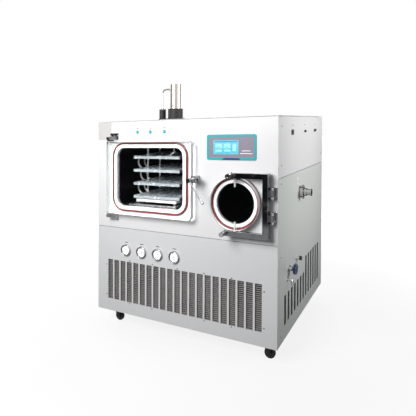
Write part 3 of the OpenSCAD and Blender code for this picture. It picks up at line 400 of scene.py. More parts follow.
def soften(node: str, finish: "Finish", width: float = 0.6, segments: int = 2) -> bpy.types.Object:
    """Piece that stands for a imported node, with the same shape and rounded edges.

    Args:
        node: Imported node.
        finish: Its finish.
        width: Width of the rounding.
        segments: Faces across the rounding.

    Returns:
        The piece.
    """
    mesh = frame["nodes"][node].data.copy()
    weld(mesh, PACKED_WELD, flat=0.5)
    piece = finish_piece(f"{node}_soft", mesh, (finish,), BODY_OF[node], (node,), SHARP_ANGLE)
    bevel = piece.modifiers.new("edges", "BEVEL")
    bevel.width, bevel.segments, bevel.limit_method = width * MM, segments, "ANGLE"
    bevel.angle_limit = math.radians(SHARP_ANGLE)
    bevel.harden_normals = True
    return piece


BODY_OF = {node: body for body, nodes in frame["record"]["behaviour"]["bodies"].items() for node in nodes}


# ---------------------------------------------------------------- shader maths

def joining(operation: str, swapped: bool = False) -> Callable[..., "Wire"]:
    """Makes an arithmetic method of a wire.

    Args:
        operation: What its node does.
        swapped: The other value comes first.

    Returns:
        The method.
    """
    def method(self: "Wire", other: "Wire | float | Sequence[float]") -> "Wire":
        """Joins both values by the operation."""
        return self.join(operation, other, swapped)
    return method


class Wire:
    """An output socket that takes part in arithmetic: numbers and vectors alike."""

    def __init__(self, graph: "Graph", socket: bpy.types.NodeSocket) -> None:
        """Keeps the socket and the graph that it is in."""
        self.graph, self.socket = graph, socket

    def join(self, operation: str, other: "Wire | float | Sequence[float]", swapped: bool = False) -> "Wire":
        """Node of the kind that fits this socket, with both values in order."""
        kind = "VectorMath" if self.socket.type == "VECTOR" else "Math"
        if kind == "VectorMath" and not isinstance(other, Wire):
            other = tuple(np.broadcast_to(other, 3).tolist())
        first, second = (other, self) if swapped else (self, other)
        return self.graph.node(kind, {"operation": operation}, {0: first, 1: second})

    __add__ = joining("ADD")
    __radd__ = joining("ADD", True)
    __sub__ = joining("SUBTRACT")
    __rsub__ = joining("SUBTRACT", True)
    __mul__ = joining("MULTIPLY")

    def step(self, low: float, high: float) -> "Wire":
        """0 below `low`, 1 above `high` and a smooth rise between; reversed if `low` is the larger."""
        return self.graph.node("MapRange", {"interpolation_type": "SMOOTHSTEP"},
                               {"Value": self, "From Min": low, "From Max": high})

    def sine(self) -> "Wire":
        """Sine of the value in radians."""
        return self.graph.node("Math", {"operation": "SINE"}, {0: self})

    def larger(self, other: "Wire") -> "Wire":
        """The larger of two values."""
        return self.join("MAXIMUM", other)

    def part(self, axis: int) -> "Wire":
        """One coordinate of a vector."""
        return self.graph.node("SeparateXYZ", {}, {0: self}, axis)

    def length(self) -> "Wire":
        """Length of a vector."""
        return self.graph.node("VectorMath", {"operation": "LENGTH"}, {0: self}, "Value")


class Graph:
    """A node tree whose nodes are all made by one method."""

    def __init__(self, tree: bpy.types.NodeTree) -> None:
        """Empties the tree."""
        self.tree = tree
        tree.nodes.clear()

    def node(self, kind: str, settings: dict | None = None, inputs: dict | None = None,
             output: int | str = 0) -> Wire:
        """Makes one node.

        Args:
            kind: Its type, without the common start of the name.
            settings: Its own settings, set first.
            inputs: Values and wires of its sockets, by name or number.
            output: Socket that is returned.

        Returns:
            The output as a wire.
        """
        made = self.tree.nodes.new(f"ShaderNode{kind}")
        for key, value in (settings or {}).items():
            setattr(made, key, value)
        for key, value in (inputs or {}).items():
            if isinstance(value, Wire):
                self.tree.links.new(value.socket, made.inputs[key])
            else:
                made.inputs[key].default_value = value
        return Wire(self, made.outputs[output]) if made.outputs else None

    def spot(self) -> Wire:
        """Place on the object, in cabinet millimetres."""
        return (self.node("TexCoord", output="Object") - CABINET.origin) * (1 / MM)

    def noise(self, at: Wire, size: float, detail: float = 3.0, rough: float = 0.5) -> Wire:
        """Noise from 0 to 1 with grains of one size in millimetres."""
        return self.node("TexNoise", {}, {"Vector": at, "Scale": 1 / size, "Detail": detail,
                                          "Roughness": rough}, "Fac")

    def blend(self, share: Wire | float, first: "Wire | Colour", second: "Wire | Colour") -> Wire:
        """Colour between two colours."""
        first, second = (c if isinstance(c, Wire) else (*c, 1.0) for c in (first, second))
        return self.node("Mix", {"data_type": "RGBA"}, {0: share, 6: first, 7: second}, 2)

    def edge(self, radius: float) -> Wire:
        """How near an outer edge a place lies: 0 on a flat, towards 1 on the edge."""
        true = self.node("NewGeometry", output="Normal")
        soft = self.node("Bevel", {"samples": 4}, {"Radius": radius * MM})
        dot = self.node("VectorMath", {"operation": "DOT_PRODUCT"}, {0: true, 1: soft}, "Value")
        return dot.step(0.995, 0.85)

    def bump(self, height: Wire, depth: float, strength: float = 1.0) -> Wire:
        """Normal of a surface whose relief is `depth` millimetres."""
        return self.node("Bump", {}, {"Height": height, "Distance": depth * MM, "Strength": strength})

    def principled(self, **inputs: "Wire | float | Colour") -> Wire:
        """Principled shader; a socket's name is written with _ for a space."""
        named = {key.replace("_", " "): (*value, 1.0) if isinstance(value, tuple) else value
                 for key, value in inputs.items()}
        return self.node("BsdfPrincipled", {}, named)

    def seen(self) -> Wire:
        """1 for rays from the camera, from a mirror or through glass, and 0 for light that is gathered."""
        kinds = ("Is Camera Ray", "Is Glossy Ray", "Is Transmission Ray")
        camera, glossy, through = (self.node("LightPath", output=kind) for kind in kinds)
        return camera.larger(glossy).larger(through)

    def show(self, shader: Wire, kind: str = "Material") -> None:
        """Ends the tree with its output."""
        self.node(f"Output{kind}", {}, {"Surface": shader})


def shade(colour: Colour, share: float) -> Colour:
    """The colour made darker or lighter by one share."""
    return tuple(min(1.0, channel * share) for channel in colour)


# ---------------------------------------------------------------- finishes

@dataclass(frozen=True)
class Finish:
    """A finish, made into a material once."""

    name: str
    made: ClassVar[dict[str, bpy.types.Material]] = {}

    def paint(self, g: Graph) -> Wire:
        """Shader of the finish."""
        raise NotImplementedError

    def material(self) -> bpy.types.Material:
        """The finish as a Blender material."""
        if self.name not in Finish.made:
            material = bpy.data.materials.new(self.name)
            material.use_nodes = True
            graph = Graph(material.node_tree)
            graph.show(self.paint(graph))
            Finish.made[self.name] = material
        return Finish.made[self.name]


@dataclass(frozen=True)
class PowderCoat(Finish):
    """Powder coat: faint clouds, orange peel, rubbed patches, slightly worn edges and, where `right` is below
    1, painted shade on the right side.
    """

    colour: Colour = (0.8, 0.8, 0.8)
    rough: float = 0.36
    wear: float = 0.35
    right: float = 1.0

    def paint(self, g: Graph) -> Wire:
        """Paint shader; `right` is the share of its colour that is kept at the right side, as painted shade
        there.
        """
        at = g.spot()
        cloud = g.noise(at, 260, 3)
        rubbed = g.noise(at * (1, 1, 0.3), 40, 6, 0.65).step(0.48, 0.75)
        worn = g.edge(1.2) * g.noise(at, 9, 4).step(0.35, 0.6)
        base = g.blend(cloud, shade(self.colour, 0.97), shade(self.colour, 1.01))
        base = g.blend(worn * self.wear, base, shade(self.colour, 0.62))
        # Painted shade: right of X 530 to 540 mm the colour darkens to the `right` share.
        if self.right < 1:
            base = g.blend(at.part(0).step(530, 540), base, shade(self.colour, self.right))
        return g.principled(Base_Color=base, Roughness=self.rough + rubbed * 0.07 + worn * 0.2,
                            Normal=g.bump(g.noise(at, 1.4, 2), 0.03, 0.35), Coat_Weight=0.15,
                            Coat_Roughness=0.2)


class Grain(Enum):
    """Direction of a brushed grain, as how fast the noise changes along each axis."""

    X = (0.02, 1, 1)
    Y = (1, 0.02, 1)
    NONE = (1, 1, 1)


@dataclass(frozen=True)
class Steel(Finish):
    """Metal with a brushed or turned grain, fingerprints and darker stains."""

    colour: Colour = (0.75, 0.75, 0.76)
    rough: float = 0.25
    grain: Grain = Grain.X
    depth: float = 0.02
    metal: float = 1.0
    outline: float = 0.0

    def paint(self, g: Graph) -> Wire:
        """Metal shader; `outline` is how much darker it turns where it is seen edge on, a painted shade along
        those rims.
        """
        at = g.spot()
        lines = g.noise(at * self.grain.value, 0.7, 3, 0.6)
        smudge = g.noise(at, 34, 5, 0.6).step(0.42, 0.72)
        worn = g.edge(0.8)
        base = g.blend(lines, shade(self.colour, 0.88), shade(self.colour, 1.06))
        base = g.blend(smudge * 0.25, base, shade(self.colour, 0.7))
        base = g.blend(worn * 0.5, base, shade(self.colour, 1.2))
        # Painted shade: the colour falls to near black where the surface is seen edge on.
        if self.outline:
            slant = g.node("LayerWeight", {}, {"Blend": 0.5}, "Facing").step(0.12, 0.7)
            base = g.blend(slant * self.outline, base, shade(self.colour, 0.04))
        rough = lines * 0.08 + smudge * 0.1 + (self.rough - 0.06)
        return g.principled(Base_Color=base, Metallic=self.metal, Roughness=rough,
                            Normal=g.bump(lines, self.depth, 0.4))


@dataclass(frozen=True)
class DepthShadedSteel(Finish):
    """Steel vessel whose rim is polished and whose deeper walls are painted near black as painted shade."""

    colour: Colour = (0.88, 0.88, 0.88)
    # `deep` is the colour painted on the walls past the mouth: painted shade, where lit steel would be
    # bright.
    deep: Colour = (0.006, 0.006, 0.007)
    mouth: float = 6.0
    inner_metal: float = 0.9

    def paint(self, g: Graph) -> Wire:
        """Metal shader, darker and duller with depth: painted shade past the mouth."""
        at = g.spot()
        shaded_depth = at.part(1).step(self.mouth - 8, self.mouth + 14)
        smudge = g.noise(at, 30, 5, 0.6).step(0.42, 0.75)
        lines = g.noise(at * Grain.X.value, 0.8, 3)
        rim = g.blend(smudge * 0.3, self.colour, shade(self.colour, 0.85))
        # Painted shade: past the mouth the colour turns to the near-black `deep`.
        base = g.blend(shaded_depth, rim, g.blend(smudge, self.deep, shade(self.deep, 1.6)))
        rough = smudge * 0.12 + shaded_depth * 0.12 + 0.2
        return g.principled(Base_Color=base, Metallic=shaded_depth * (self.inner_metal - 0.3) + 0.3,
                            Roughness=rough, Specular_IOR_Level=0.2, Normal=g.bump(lines, 0.02, 0.3))


@dataclass(frozen=True)
class Silicone(Finish):
    """Moulded silicone rubber with fine dust."""

    colour: Colour = (0.4, 0.01, 0.02)
    rough: float = 0.3

    def paint(self, g: Graph) -> Wire:
        """Rubber shader."""
        at = g.spot()
        dust = g.noise(at, 5, 6, 0.7).step(0.55, 0.8)
        cloud = g.noise(at, 60, 3)
        base = g.blend(cloud, shade(self.colour, 0.8), self.colour)
        base = g.blend(dust * 0.12, base, (0.5, 0.42, 0.42))
        return g.principled(Base_Color=base, Roughness=dust * 0.2 + self.rough, Coat_Weight=0.4,
                            Coat_Roughness=0.15, Normal=g.bump(g.noise(at, 2.5, 3), 0.05, 0.3))


@dataclass(frozen=True)
class ClearSheet(Finish):
    """Clear acrylic or glass that lets light through to what lies behind it."""

    colour: Colour = (0.97, 0.985, 0.98)
    rough: float = 0.0

    def paint(self, g: Graph) -> Wire:
        """Glass for what is seen, clear for shadows."""
        at = g.spot()
        prints = g.noise(at, 26, 6, 0.7).step(0.6, 0.85)
        solid = g.principled(Base_Color=self.colour, IOR=1.49, Transmission_Weight=1.0,
                             Roughness=prints * 0.05 + self.rough,
                             Normal=g.bump(g.noise(at, 90, 2), 0.05, 0.2))
        clear = g.node("BsdfTransparent", {}, {"Color": (*self.colour, 1.0)})
        shadow = g.node("LightPath", output="Is Shadow Ray")
        return g.node("MixShader", {}, {0: shadow, 1: solid, 2: clear})


@dataclass(frozen=True)
class Plastic(Finish):
    """Moulded or printed plastic with a fine grain and handling marks."""

    colour: Colour = (0.5, 0.5, 0.5)
    rough: float = 0.35
    grain: float = 0.03
    coat: float = 0.0

    def paint(self, g: Graph) -> Wire:
        """Plastic shader."""
        at = g.spot()
        cloud = g.noise(at, 22, 4)
        marks = g.noise(at, 6, 6, 0.7).step(0.52, 0.8)
        base = g.blend(cloud, shade(self.colour, 0.92), shade(self.colour, 1.05))
        base = g.blend(g.edge(0.5) * 0.3, base, shade(self.colour, 1.35))
        return g.principled(Base_Color=base, Roughness=marks * 0.15 + self.rough, Coat_Weight=self.coat,
                            Normal=g.bump(g.noise(at, 0.5, 2), self.grain, 0.3))


@dataclass(frozen=True)
class Lit(Finish):
    """Lit plastic: a lens or a strip of a screen."""

    colour: Colour = (0.2, 0.8, 0.9)
    glow: float = 0.4

    def paint(self, g: Graph) -> Wire:
        """Plastic that also gives off its own colour."""
        at = g.spot()
        cloud = g.noise(at, 12, 4)
        base = g.blend(cloud, shade(self.colour, 0.8), shade(self.colour, 1.1))
        return g.principled(Base_Color=base, Roughness=cloud * 0.1 + 0.15, Emission_Color=base,
                            Emission_Strength=self.glow, Coat_Weight=0.3)


@dataclass(frozen=True)
class Screen(Finish):
    """Lit screen: brighter towards one corner, with fine rows of dots."""

    colour: Colour = (0.1, 0.62, 0.8)
    pale: Colour = (0.45, 0.85, 0.92)
    low: float = 900.0
    high: float = 990.0

    def paint(self, g: Graph) -> Wire:
        """Emission in two tones."""
        at = g.spot()
        rows = (at.part(2) * (FULL_TURN / 0.9)).sine()
        tone = g.noise(at * (1, 1, 1.6), 30, 2).step(0.3, 0.75)
        rise = at.part(2).step(self.low, self.high)
        base = g.blend(tone * 0.5 + rise * 0.4, self.colour, self.pale)
        base = g.blend(rows * 0.04 + 0.04, base, shade(self.colour, 0.5))
        return g.principled(Base_Color=shade(self.colour, 0.3), Roughness=0.12, Emission_Color=base,
                            Emission_Strength=0.75)


@dataclass(frozen=True)
class Rubber(Finish):
    """Black tyre rubber, greyed with dust near its tread."""

    colour: Colour = (0.01, 0.01, 0.01)

    def paint(self, g: Graph) -> Wire:
        """Rubber shader."""
        at = g.spot()
        dust = g.noise(at, 7, 6, 0.7).step(0.45, 0.8)
        base = g.blend(dust * 0.2, self.colour, (0.12, 0.11, 0.1))
        return g.principled(Base_Color=base, Roughness=dust * 0.2 + 0.6, Normal=g.bump(dust, 0.1, 0.4))


@dataclass(frozen=True)
class Braid(Finish):
    """Steel wire braid: two sets of strands that cross at a slant."""

    colour: Colour = (0.62, 0.62, 0.63)
    strands: int = 10
    pitch: float = 5.0

    def paint(self, g: Graph) -> Wire:
        """Metal with a woven relief over the texture's length and share, painted darker between the strands
        as painted shade.
        """
        uv = g.node("UVMap")
        run = uv.part(0) * (FULL_TURN / self.pitch)
        share = uv.part(1) * (FULL_TURN * self.strands)
        weave_shade = (run + share).sine() * (run - share).sine() * 0.5 + 0.5
        # Painted shade: the colour drops to a quarter between the strands.
        base = g.blend(weave_shade, shade(self.colour, 0.25), self.colour)
        return g.principled(Base_Color=base, Metallic=0.95, Roughness=0.45 - weave_shade * 0.15,
                            Normal=g.bump(weave_shade, 0.4, 0.8))


@dataclass(frozen=True)
class Fins(Finish):
    """Stack of thin aluminium fins seen edge on."""

    colour: Colour = (0.5, 0.5, 0.51)
    pitch: float = 3.0

    def paint(self, g: Graph) -> Wire:
        """Bright fin edges with near-black painted shade in the gaps between them."""
        at = g.spot()
        line = (at.part(0) * (FULL_TURN / self.pitch)).sine().step(-0.3, 0.5)
        dust = g.noise(at, 50, 5).step(0.4, 0.8)
        # Painted shade: the near-black gaps between the fins.
        base = g.blend(line, (0.02, 0.02, 0.02), g.blend(dust * 0.4, self.colour, (0.25, 0.24, 0.22)))
        return g.principled(Base_Color=base, Metallic=0.7, Roughness=dust * 0.2 + 0.4,
                            Normal=g.bump(line, 0.6, 0.8))


WHITE = PowderCoat("white_coat", (0.8, 0.8, 0.81))
GREY = PowderCoat("lower_coat", (0.72, 0.725, 0.735))
# A darker copy of the lower coat, faintly green, for the right side's lower panel: the darkness is painted
# shade.
SHADED_SIDE = PowderCoat("shaded_side_coat", (0.66, 0.695, 0.67))
# The grille's slats on the right side keep 0.3 of its colour: painted shade.
GRILLE = PowderCoat("grille_coat", (0.24, 0.23, 0.225), 0.4, right=0.3)
# Near-black frame coat, whose darkness also paints the shade in the panel seams where the frame shows.
FRAME = PowderCoat("frame_coat", (0.07, 0.07, 0.075), 0.45)
BLACK_COAT = PowderCoat("black_coat", (0.008, 0.008, 0.009), 0.45)
# CHROME, PRESS and PORT use `outline`: painted shade along their rims seen edge on.
CHROME = Steel("chrome", (0.86, 0.86, 0.87), 0.1, Grain.NONE, 0.005, outline=0.9)
PRESS = Steel("press_chrome", (0.6, 0.55, 0.5), 0.12, Grain.NONE, 0.005, outline=0.9)
DARK_CHROME = Steel("dark_chrome", (0.36, 0.365, 0.38), 0.09, Grain.NONE, 0.005)
SHELF = Steel("shelf_steel", (0.6, 0.64, 0.68), 0.24, Grain.Y, 0.02, metal=0.5)
TRAY = Steel("tray_steel", (0.95, 0.95, 0.95), 0.2, Grain.X, 0.01, metal=0.3)
STAINLESS = Steel("stainless", (0.72, 0.72, 0.73), 0.28, Grain.X, 0.02)
COPPER = Steel("copper", (0.72, 0.36, 0.22), 0.3, Grain.NONE, 0.02)
ZINC = Steel("zinc", (0.3, 0.3, 0.31), 0.35, Grain.NONE, 0.02)
PORT = Steel("port_steel", (0.6, 0.6, 0.6), 0.12, Grain.NONE, 0.01, outline=1.0)
ALUMINIUM = Steel("aluminium", (0.6, 0.6, 0.61), 0.4, Grain.NONE, 0.03)
RED = Silicone("red_silicone", (0.15, 0.008, 0.012))
ACRYLIC = ClearSheet("acrylic")
GLASS = ClearSheet("gauge_glass", (0.99, 0.99, 0.99))
PLATE = Plastic("plate_lacquer", (0.6, 0.585, 0.57), 0.4, 0.03)
COLLAR = Plastic("collar_black", (0.006, 0.0045, 0.004), 0.6)
FROSTED = Plastic("cut_acrylic", (0.88, 0.9, 0.9), 0.45)
NYLON = Plastic("white_nylon", (0.85, 0.85, 0.85), 0.4)
BLACK = Plastic("black_plastic", (0.018, 0.018, 0.02), 0.32)
TEAL = Plastic("teal_panel", (0.05, 0.42, 0.48), 0.25, 0.01, 0.3)
MEMBRANE = Plastic("membrane", (0.25, 0.23, 0.29), 0.4, 0.01)
NAVY = Plastic("navy_print", (0.02, 0.05, 0.2), 0.4, 0.005)
PRINT = Plastic("grey_print", (0.1, 0.11, 0.13), 0.5, 0.005)
PALE_PRINT = Plastic("pale_print", (0.82, 0.84, 0.86), 0.5, 0.005)
DIAL = Plastic("dial_white", (0.86, 0.86, 0.85), 0.5, 0.005)
INK = Plastic("dial_ink", (0.02, 0.02, 0.025), 0.5, 0.005)
BLUE = Plastic("blue_handwheel", (0.012, 0.035, 0.15), 0.3, 0.02, 0.3)


# ---------------------------------------------------------------- small fittings

def screw_head(diameter: float = 8.0, height: float = 2.0) -> Skin:
    """Pan head with a cross recess.

    The height over the head is a flattened dome, less the recess where the distance to either
    of the head's own two axes is small.
    """
    radius = diameter / 2
    share, turn = np.meshgrid(np.linspace(0, 1, 22), np.linspace(0, FULL_TURN, 49)[:-1], indexing="ij")
    x, y = radius * share * np.cos(turn), radius * share * np.sin(turn)
    dome = height * (1 - share ** 4 * 0.7)
    narrow, far = np.minimum(np.abs(x), np.abs(y)), np.maximum(np.abs(x), np.abs(y))
    recess = (narrow < 0.1 * diameter) * (far < 0.3 * diameter) * 0.6 * height
    top = np.stack([x, y, dome - recess], -1)
    wall = np.stack([x[-1:], y[-1:], 0 * x[-1:]], -1)
    floor = np.stack([0 * x[:1], 0 * x[:1], 0 * x[:1]], -1)
    return Skin.grid(np.vstack([top, wall, floor]), across=True)


def plate(width: float, height: float, thick: float, corner: float = 1.0, edge: float = 0.2) -> Skin:
    """Thin rounded plate standing on the XY plane."""
    return Skin.stack(rounded(width, height, corner, 4), [(0, 0), (0, thick - edge), (edge, thick)])


def gathered(skins: Sequence[Skin]) -> Skin:
    """All the skins as one."""
    whole = skins[0]
    for skin in skins[1:]:
        whole = whole + skin
    return whole


# ---------------------------------------------------------------- sub-assemblies

@dataclass(frozen=True)
class Casing:
    """Sheet casing, its frame, its screws, its blank name plate and the blank side labels."""

    front_screws: tuple[tuple[float, float], ...] = (
        (-485, 265), (-485, 90), (485, 265), (485, 90), (-161, 304), (0, 304), (161, 304), (316, 304),
        (-316, 304), (-162, 62), (162, 62), (316, 62), (-316, 62))
    side_screw_y: tuple[float, float] = (50, 860)
    side_screw_z: tuple[float, ...] = (1044, 857, 768, 420, 40)
    name_plate: tuple[float, float, float, float] = (-549, 989, -450, 1092)

    def coat(self) -> None:
        """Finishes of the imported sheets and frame."""
        dress(WHITE, "front_upper_panel", "right_upper_panel", "left_panel", "top_panel")
        dress(GREY, "front_lower_panel", "rear_panel")
        # The right side's lower panel takes the darker side coat: painted shade.
        dress(SHADED_SIDE, "right_lower_panel")
        dress(GRILLE, "grille_inserts")
        dress(FRAME, "base_frame")

    def screws(self) -> None:
        """Cross-head screws of the front and of the right side."""
        head = screw_head()
        _, high = CABINET.box("right_lower_panel")
        front = [head.turned(17 * i).at(x, 0, z, Face.FRONT) for i, (x, z) in enumerate(self.front_screws)]
        side = [head.turned(29 * i).at(high[0], y, z, Face.RIGHT)
                for i, z in enumerate(self.side_screw_z) for y in self.side_screw_y]
        gathered(front + side).build("casing_screws", ZINC, slot="polished_chrome")

    def plates(self) -> None:
        """Blank name plate with four rivets, and two blank labels on the side."""
        x0, z0, x1, z1 = self.name_plate
        blank = plate(x1 - x0, z1 - z0, 0.8, 2).at((x0 + x1) / 2, 0, (z0 + z1) / 2, Face.FRONT)
        rivet = Skin.lathe([(0, 1.9), (1.2, 1.7), (2.2, 1.0), (2.4, 0.5), (0, 0.5)], 24)
        rivets = [rivet.at(x, 0, z, Face.FRONT) for x in (x0 + 5, x1 - 5) for z in (z0 + 5, z1 - 5)]
        gathered([blank] + rivets).build("name_plate", PLATE, slot="stainless")
        _, high = CABINET.box("right_lower_panel")
        label = plate(26, 17, 0.15, 1).at(high[0], 330, 760, Face.RIGHT)
        note = plate(30, 12, 0.15, 1).at(high[0], 330, 734, Face.RIGHT).tinted(1)
        (label + note).build("side_labels", NYLON, PALE_PRINT)


@dataclass(frozen=True)
class ChamberFront:
    """Chamber, its bright flange and its red gasket."""

    gasket_width: float = 11.0
    opening_radius: float = 46.0
    land: float = 19.0

    def vessel(self) -> None:
        """Vessel, painted dark behind its flange as painted shade."""
        dress(DepthShadedSteel("chamber_steel"), "chamber_body")

    def gasket(self) -> None:
        """Rounded gasket carried round the opening."""
        low, high = CABINET.box("chamber_gasket")
        centre, size = (low + high) / 2, high - low
        half, deep = self.gasket_width / 2, size[1]
        corner = self.opening_radius + self.land + half
        route = rounded(size[0] - 2 * half, size[2] - 2 * half, corner, 14)
        turn = np.linspace(0, math.pi, 9)
        crown = np.column_stack([half * np.cos(turn), deep - half + half * np.sin(turn)])
        section = np.vstack([[(half, 0)], crown, [(-half, 0)]])
        path = np.column_stack([route, np.zeros(len(route))])
        ring = Skin.sweep(path, section, (0, 0, 1), closed=True)
        ring.at(centre[0], high[1], centre[2], Face.FRONT).build(
            "chamber_gasket_ring", RED, slot="red_silicone", stands_for=["chamber_gasket"])


@dataclass(frozen=True)
class ChamberDoor:
    """Clear door with polished faces and frosted cut edges, its hinges and its latch."""

    corner: float = 15.0
    bevel: float = 2.0

    def pane(self) -> None:
        """Pane whose two free corners are cut off."""
        low, high = CABINET.box("door_panel")
        c = self.corner
        outline = np.array([(low[0], low[2]), (high[0] - c, low[2]), (high[0], low[2] + c),
                            (high[0], high[2] - c), (high[0] - c, high[2]), (low[0], high[2])])
        thick = high[1] - low[1]
        stations = [(self.bevel, 0), (0, self.bevel), (0, thick - self.bevel), (self.bevel, thick)]
        skin = Skin.stack(outline, stations, [0, 1, 1, 1, 0]).at(0, high[1], 0, Face.FRONT)
        skin.build("door_pane", ACRYLIC, FROSTED, body="chamber_door", slot="clear_acrylic",
                   stands_for=["door_panel"], sharp=20)

    def hardware(self) -> None:
        """Hinges and latch."""
        soften("door_hinge_leaves", CHROME)
        soften("door_hinge_brackets", CHROME)
        soften("latch_base", DARK_CHROME, 1.0)
        soften("latch_dog", CHROME)
        soften("latch_lever", CHROME)


@dataclass(frozen=True)
class ShelfStack:
    """Hung shelves, their stand, tray, pressure plate and braided hoses."""

    hose: float = 11.0
    end: float = 5.0
    hose_y: tuple[float, float] = (-80.0, -20.0)
    step: float = 22.0

    def plates(self) -> None:
        """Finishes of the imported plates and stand."""
        dress(SHELF, "shelf_lower", "shelf_middle", "shelf_upper", "pressure_plate")
        dress(STAINLESS, "shelf_stand")
        dress(TRAY, "product_tray")

    def hoses(self) -> None:
        """Half loops that join each shelf to the next."""
        lower, middle = CABINET.middle("shelf_lower"), CABINET.middle("shelf_middle")
        plate_low, _ = CABINET.box("shelf_upper")
        pitch = middle[2] - lower[2]
        x0, radius = plate_low[0], pitch / 2
        turn = np.linspace(-math.pi / 2, math.pi / 2, 25)
        bend = np.column_stack([-self.end - radius * np.cos(turn), 0 * turn, radius * np.sin(turn)])
        path = np.vstack([[(-0.5, 0, -radius)], bend, [(-0.5, 0, radius)]])
        tube = Skin.sweep(path, circle(self.hose / 2, 16), (0, 1, 0), mapped=True)
        loops = [tube.at(x0, lower[1] + y + (i % 2) * self.step, lower[2] + (i + 0.5) * pitch)
                 for i in range(3) for y in self.hose_y]
        piece = gathered(loops).build("hose_set", Braid("hose_braid"), slot="hose_braid",
                                      stands_for=["shelf_hoses"], sharp=60)
        tuple(CABINET.metres(lower))
        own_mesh(piece)


@dataclass(frozen=True)
class Press:
    """Stoppering cylinder on top, its collar, socket, pipe and ram."""

    def finish(self) -> None:
        """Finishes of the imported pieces."""
        soften("press_cylinder", PRESS, 1.5, 3)
        soften("press_base", COLLAR, 1.2)
        dress(CHROME, "press_ram")


@dataclass(frozen=True)
class TrapFront:
    """Cold trap's vessel, gasket, coil and fixed hinges."""

    width: float = 14.0

    def vessel(self) -> None:
        """Vessel, coil and hinges."""
        # The trap's walls past its mouth are painted almost black, with no metal: painted shade.
        steel = DepthShadedSteel("trap_steel", deep=(0.001, 0.001, 0.001), mouth=2.0, inner_metal=0.0)
        dress(steel, "trap_vessel", "trap_flange")
        dress(COPPER, "trap_coil")
        soften("trap_hinges", CHROME)

    def gasket(self) -> None:
        """Gasket ring with two rounded lips."""
        low, high = CABINET.box("trap_gasket")
        outer, deep = (high[0] - low[0]) / 2, high[1] - low[1]
        inner = outer - self.width
        lip = (outer - inner) / 4
        turn = np.linspace(math.pi, 0, 8)
        lips = [np.column_stack([centre + lip * np.cos(turn), deep - lip + lip * np.sin(turn)])
                for centre in (inner + lip, outer - lip)]
        profile = np.vstack([[(inner, 0)], *lips, [(outer, 0)]])
        centre = (low + high) / 2
        Skin.lathe(profile, 120, closed=True).at(centre[0], high[1], centre[2], Face.FRONT).build(
            "trap_gasket_ring", RED, slot="red_silicone", stands_for=["trap_gasket"])


@dataclass(frozen=True)
class TrapDoor:
    """Clear round door, its chromed frame, clips and knobs."""

    bevel: float = 2.0

    def pane(self) -> None:
        """Round pane with a frosted edge."""
        low, high = CABINET.box("trap_disc")
        radius, thick, b = (high[0] - low[0]) / 2, high[1] - low[1], self.bevel
        profile = [(0, 0), (radius - b, 0), (radius, b), (radius, thick - b), (radius - b, thick), (0, thick)]
        centre = (low + high) / 2
        Skin.lathe(profile, 120, [0, 1, 1, 1, 0]).at(centre[0], high[1], centre[2], Face.FRONT).build(
            "trap_pane", ACRYLIC, FROSTED, body="trap_door", slot="clear_acrylic",
            stands_for=["trap_disc"], sharp=20)

    def hardware(self) -> None:
        """Frame, clips and knobs."""
        soften("trap_frame", DARK_CHROME, 0.8)
        soften("trap_clips", NYLON, 0.5)
        soften("trap_knob_top", CHROME, 0.5)
        soften("trap_knob_bottom", CHROME, 0.5)


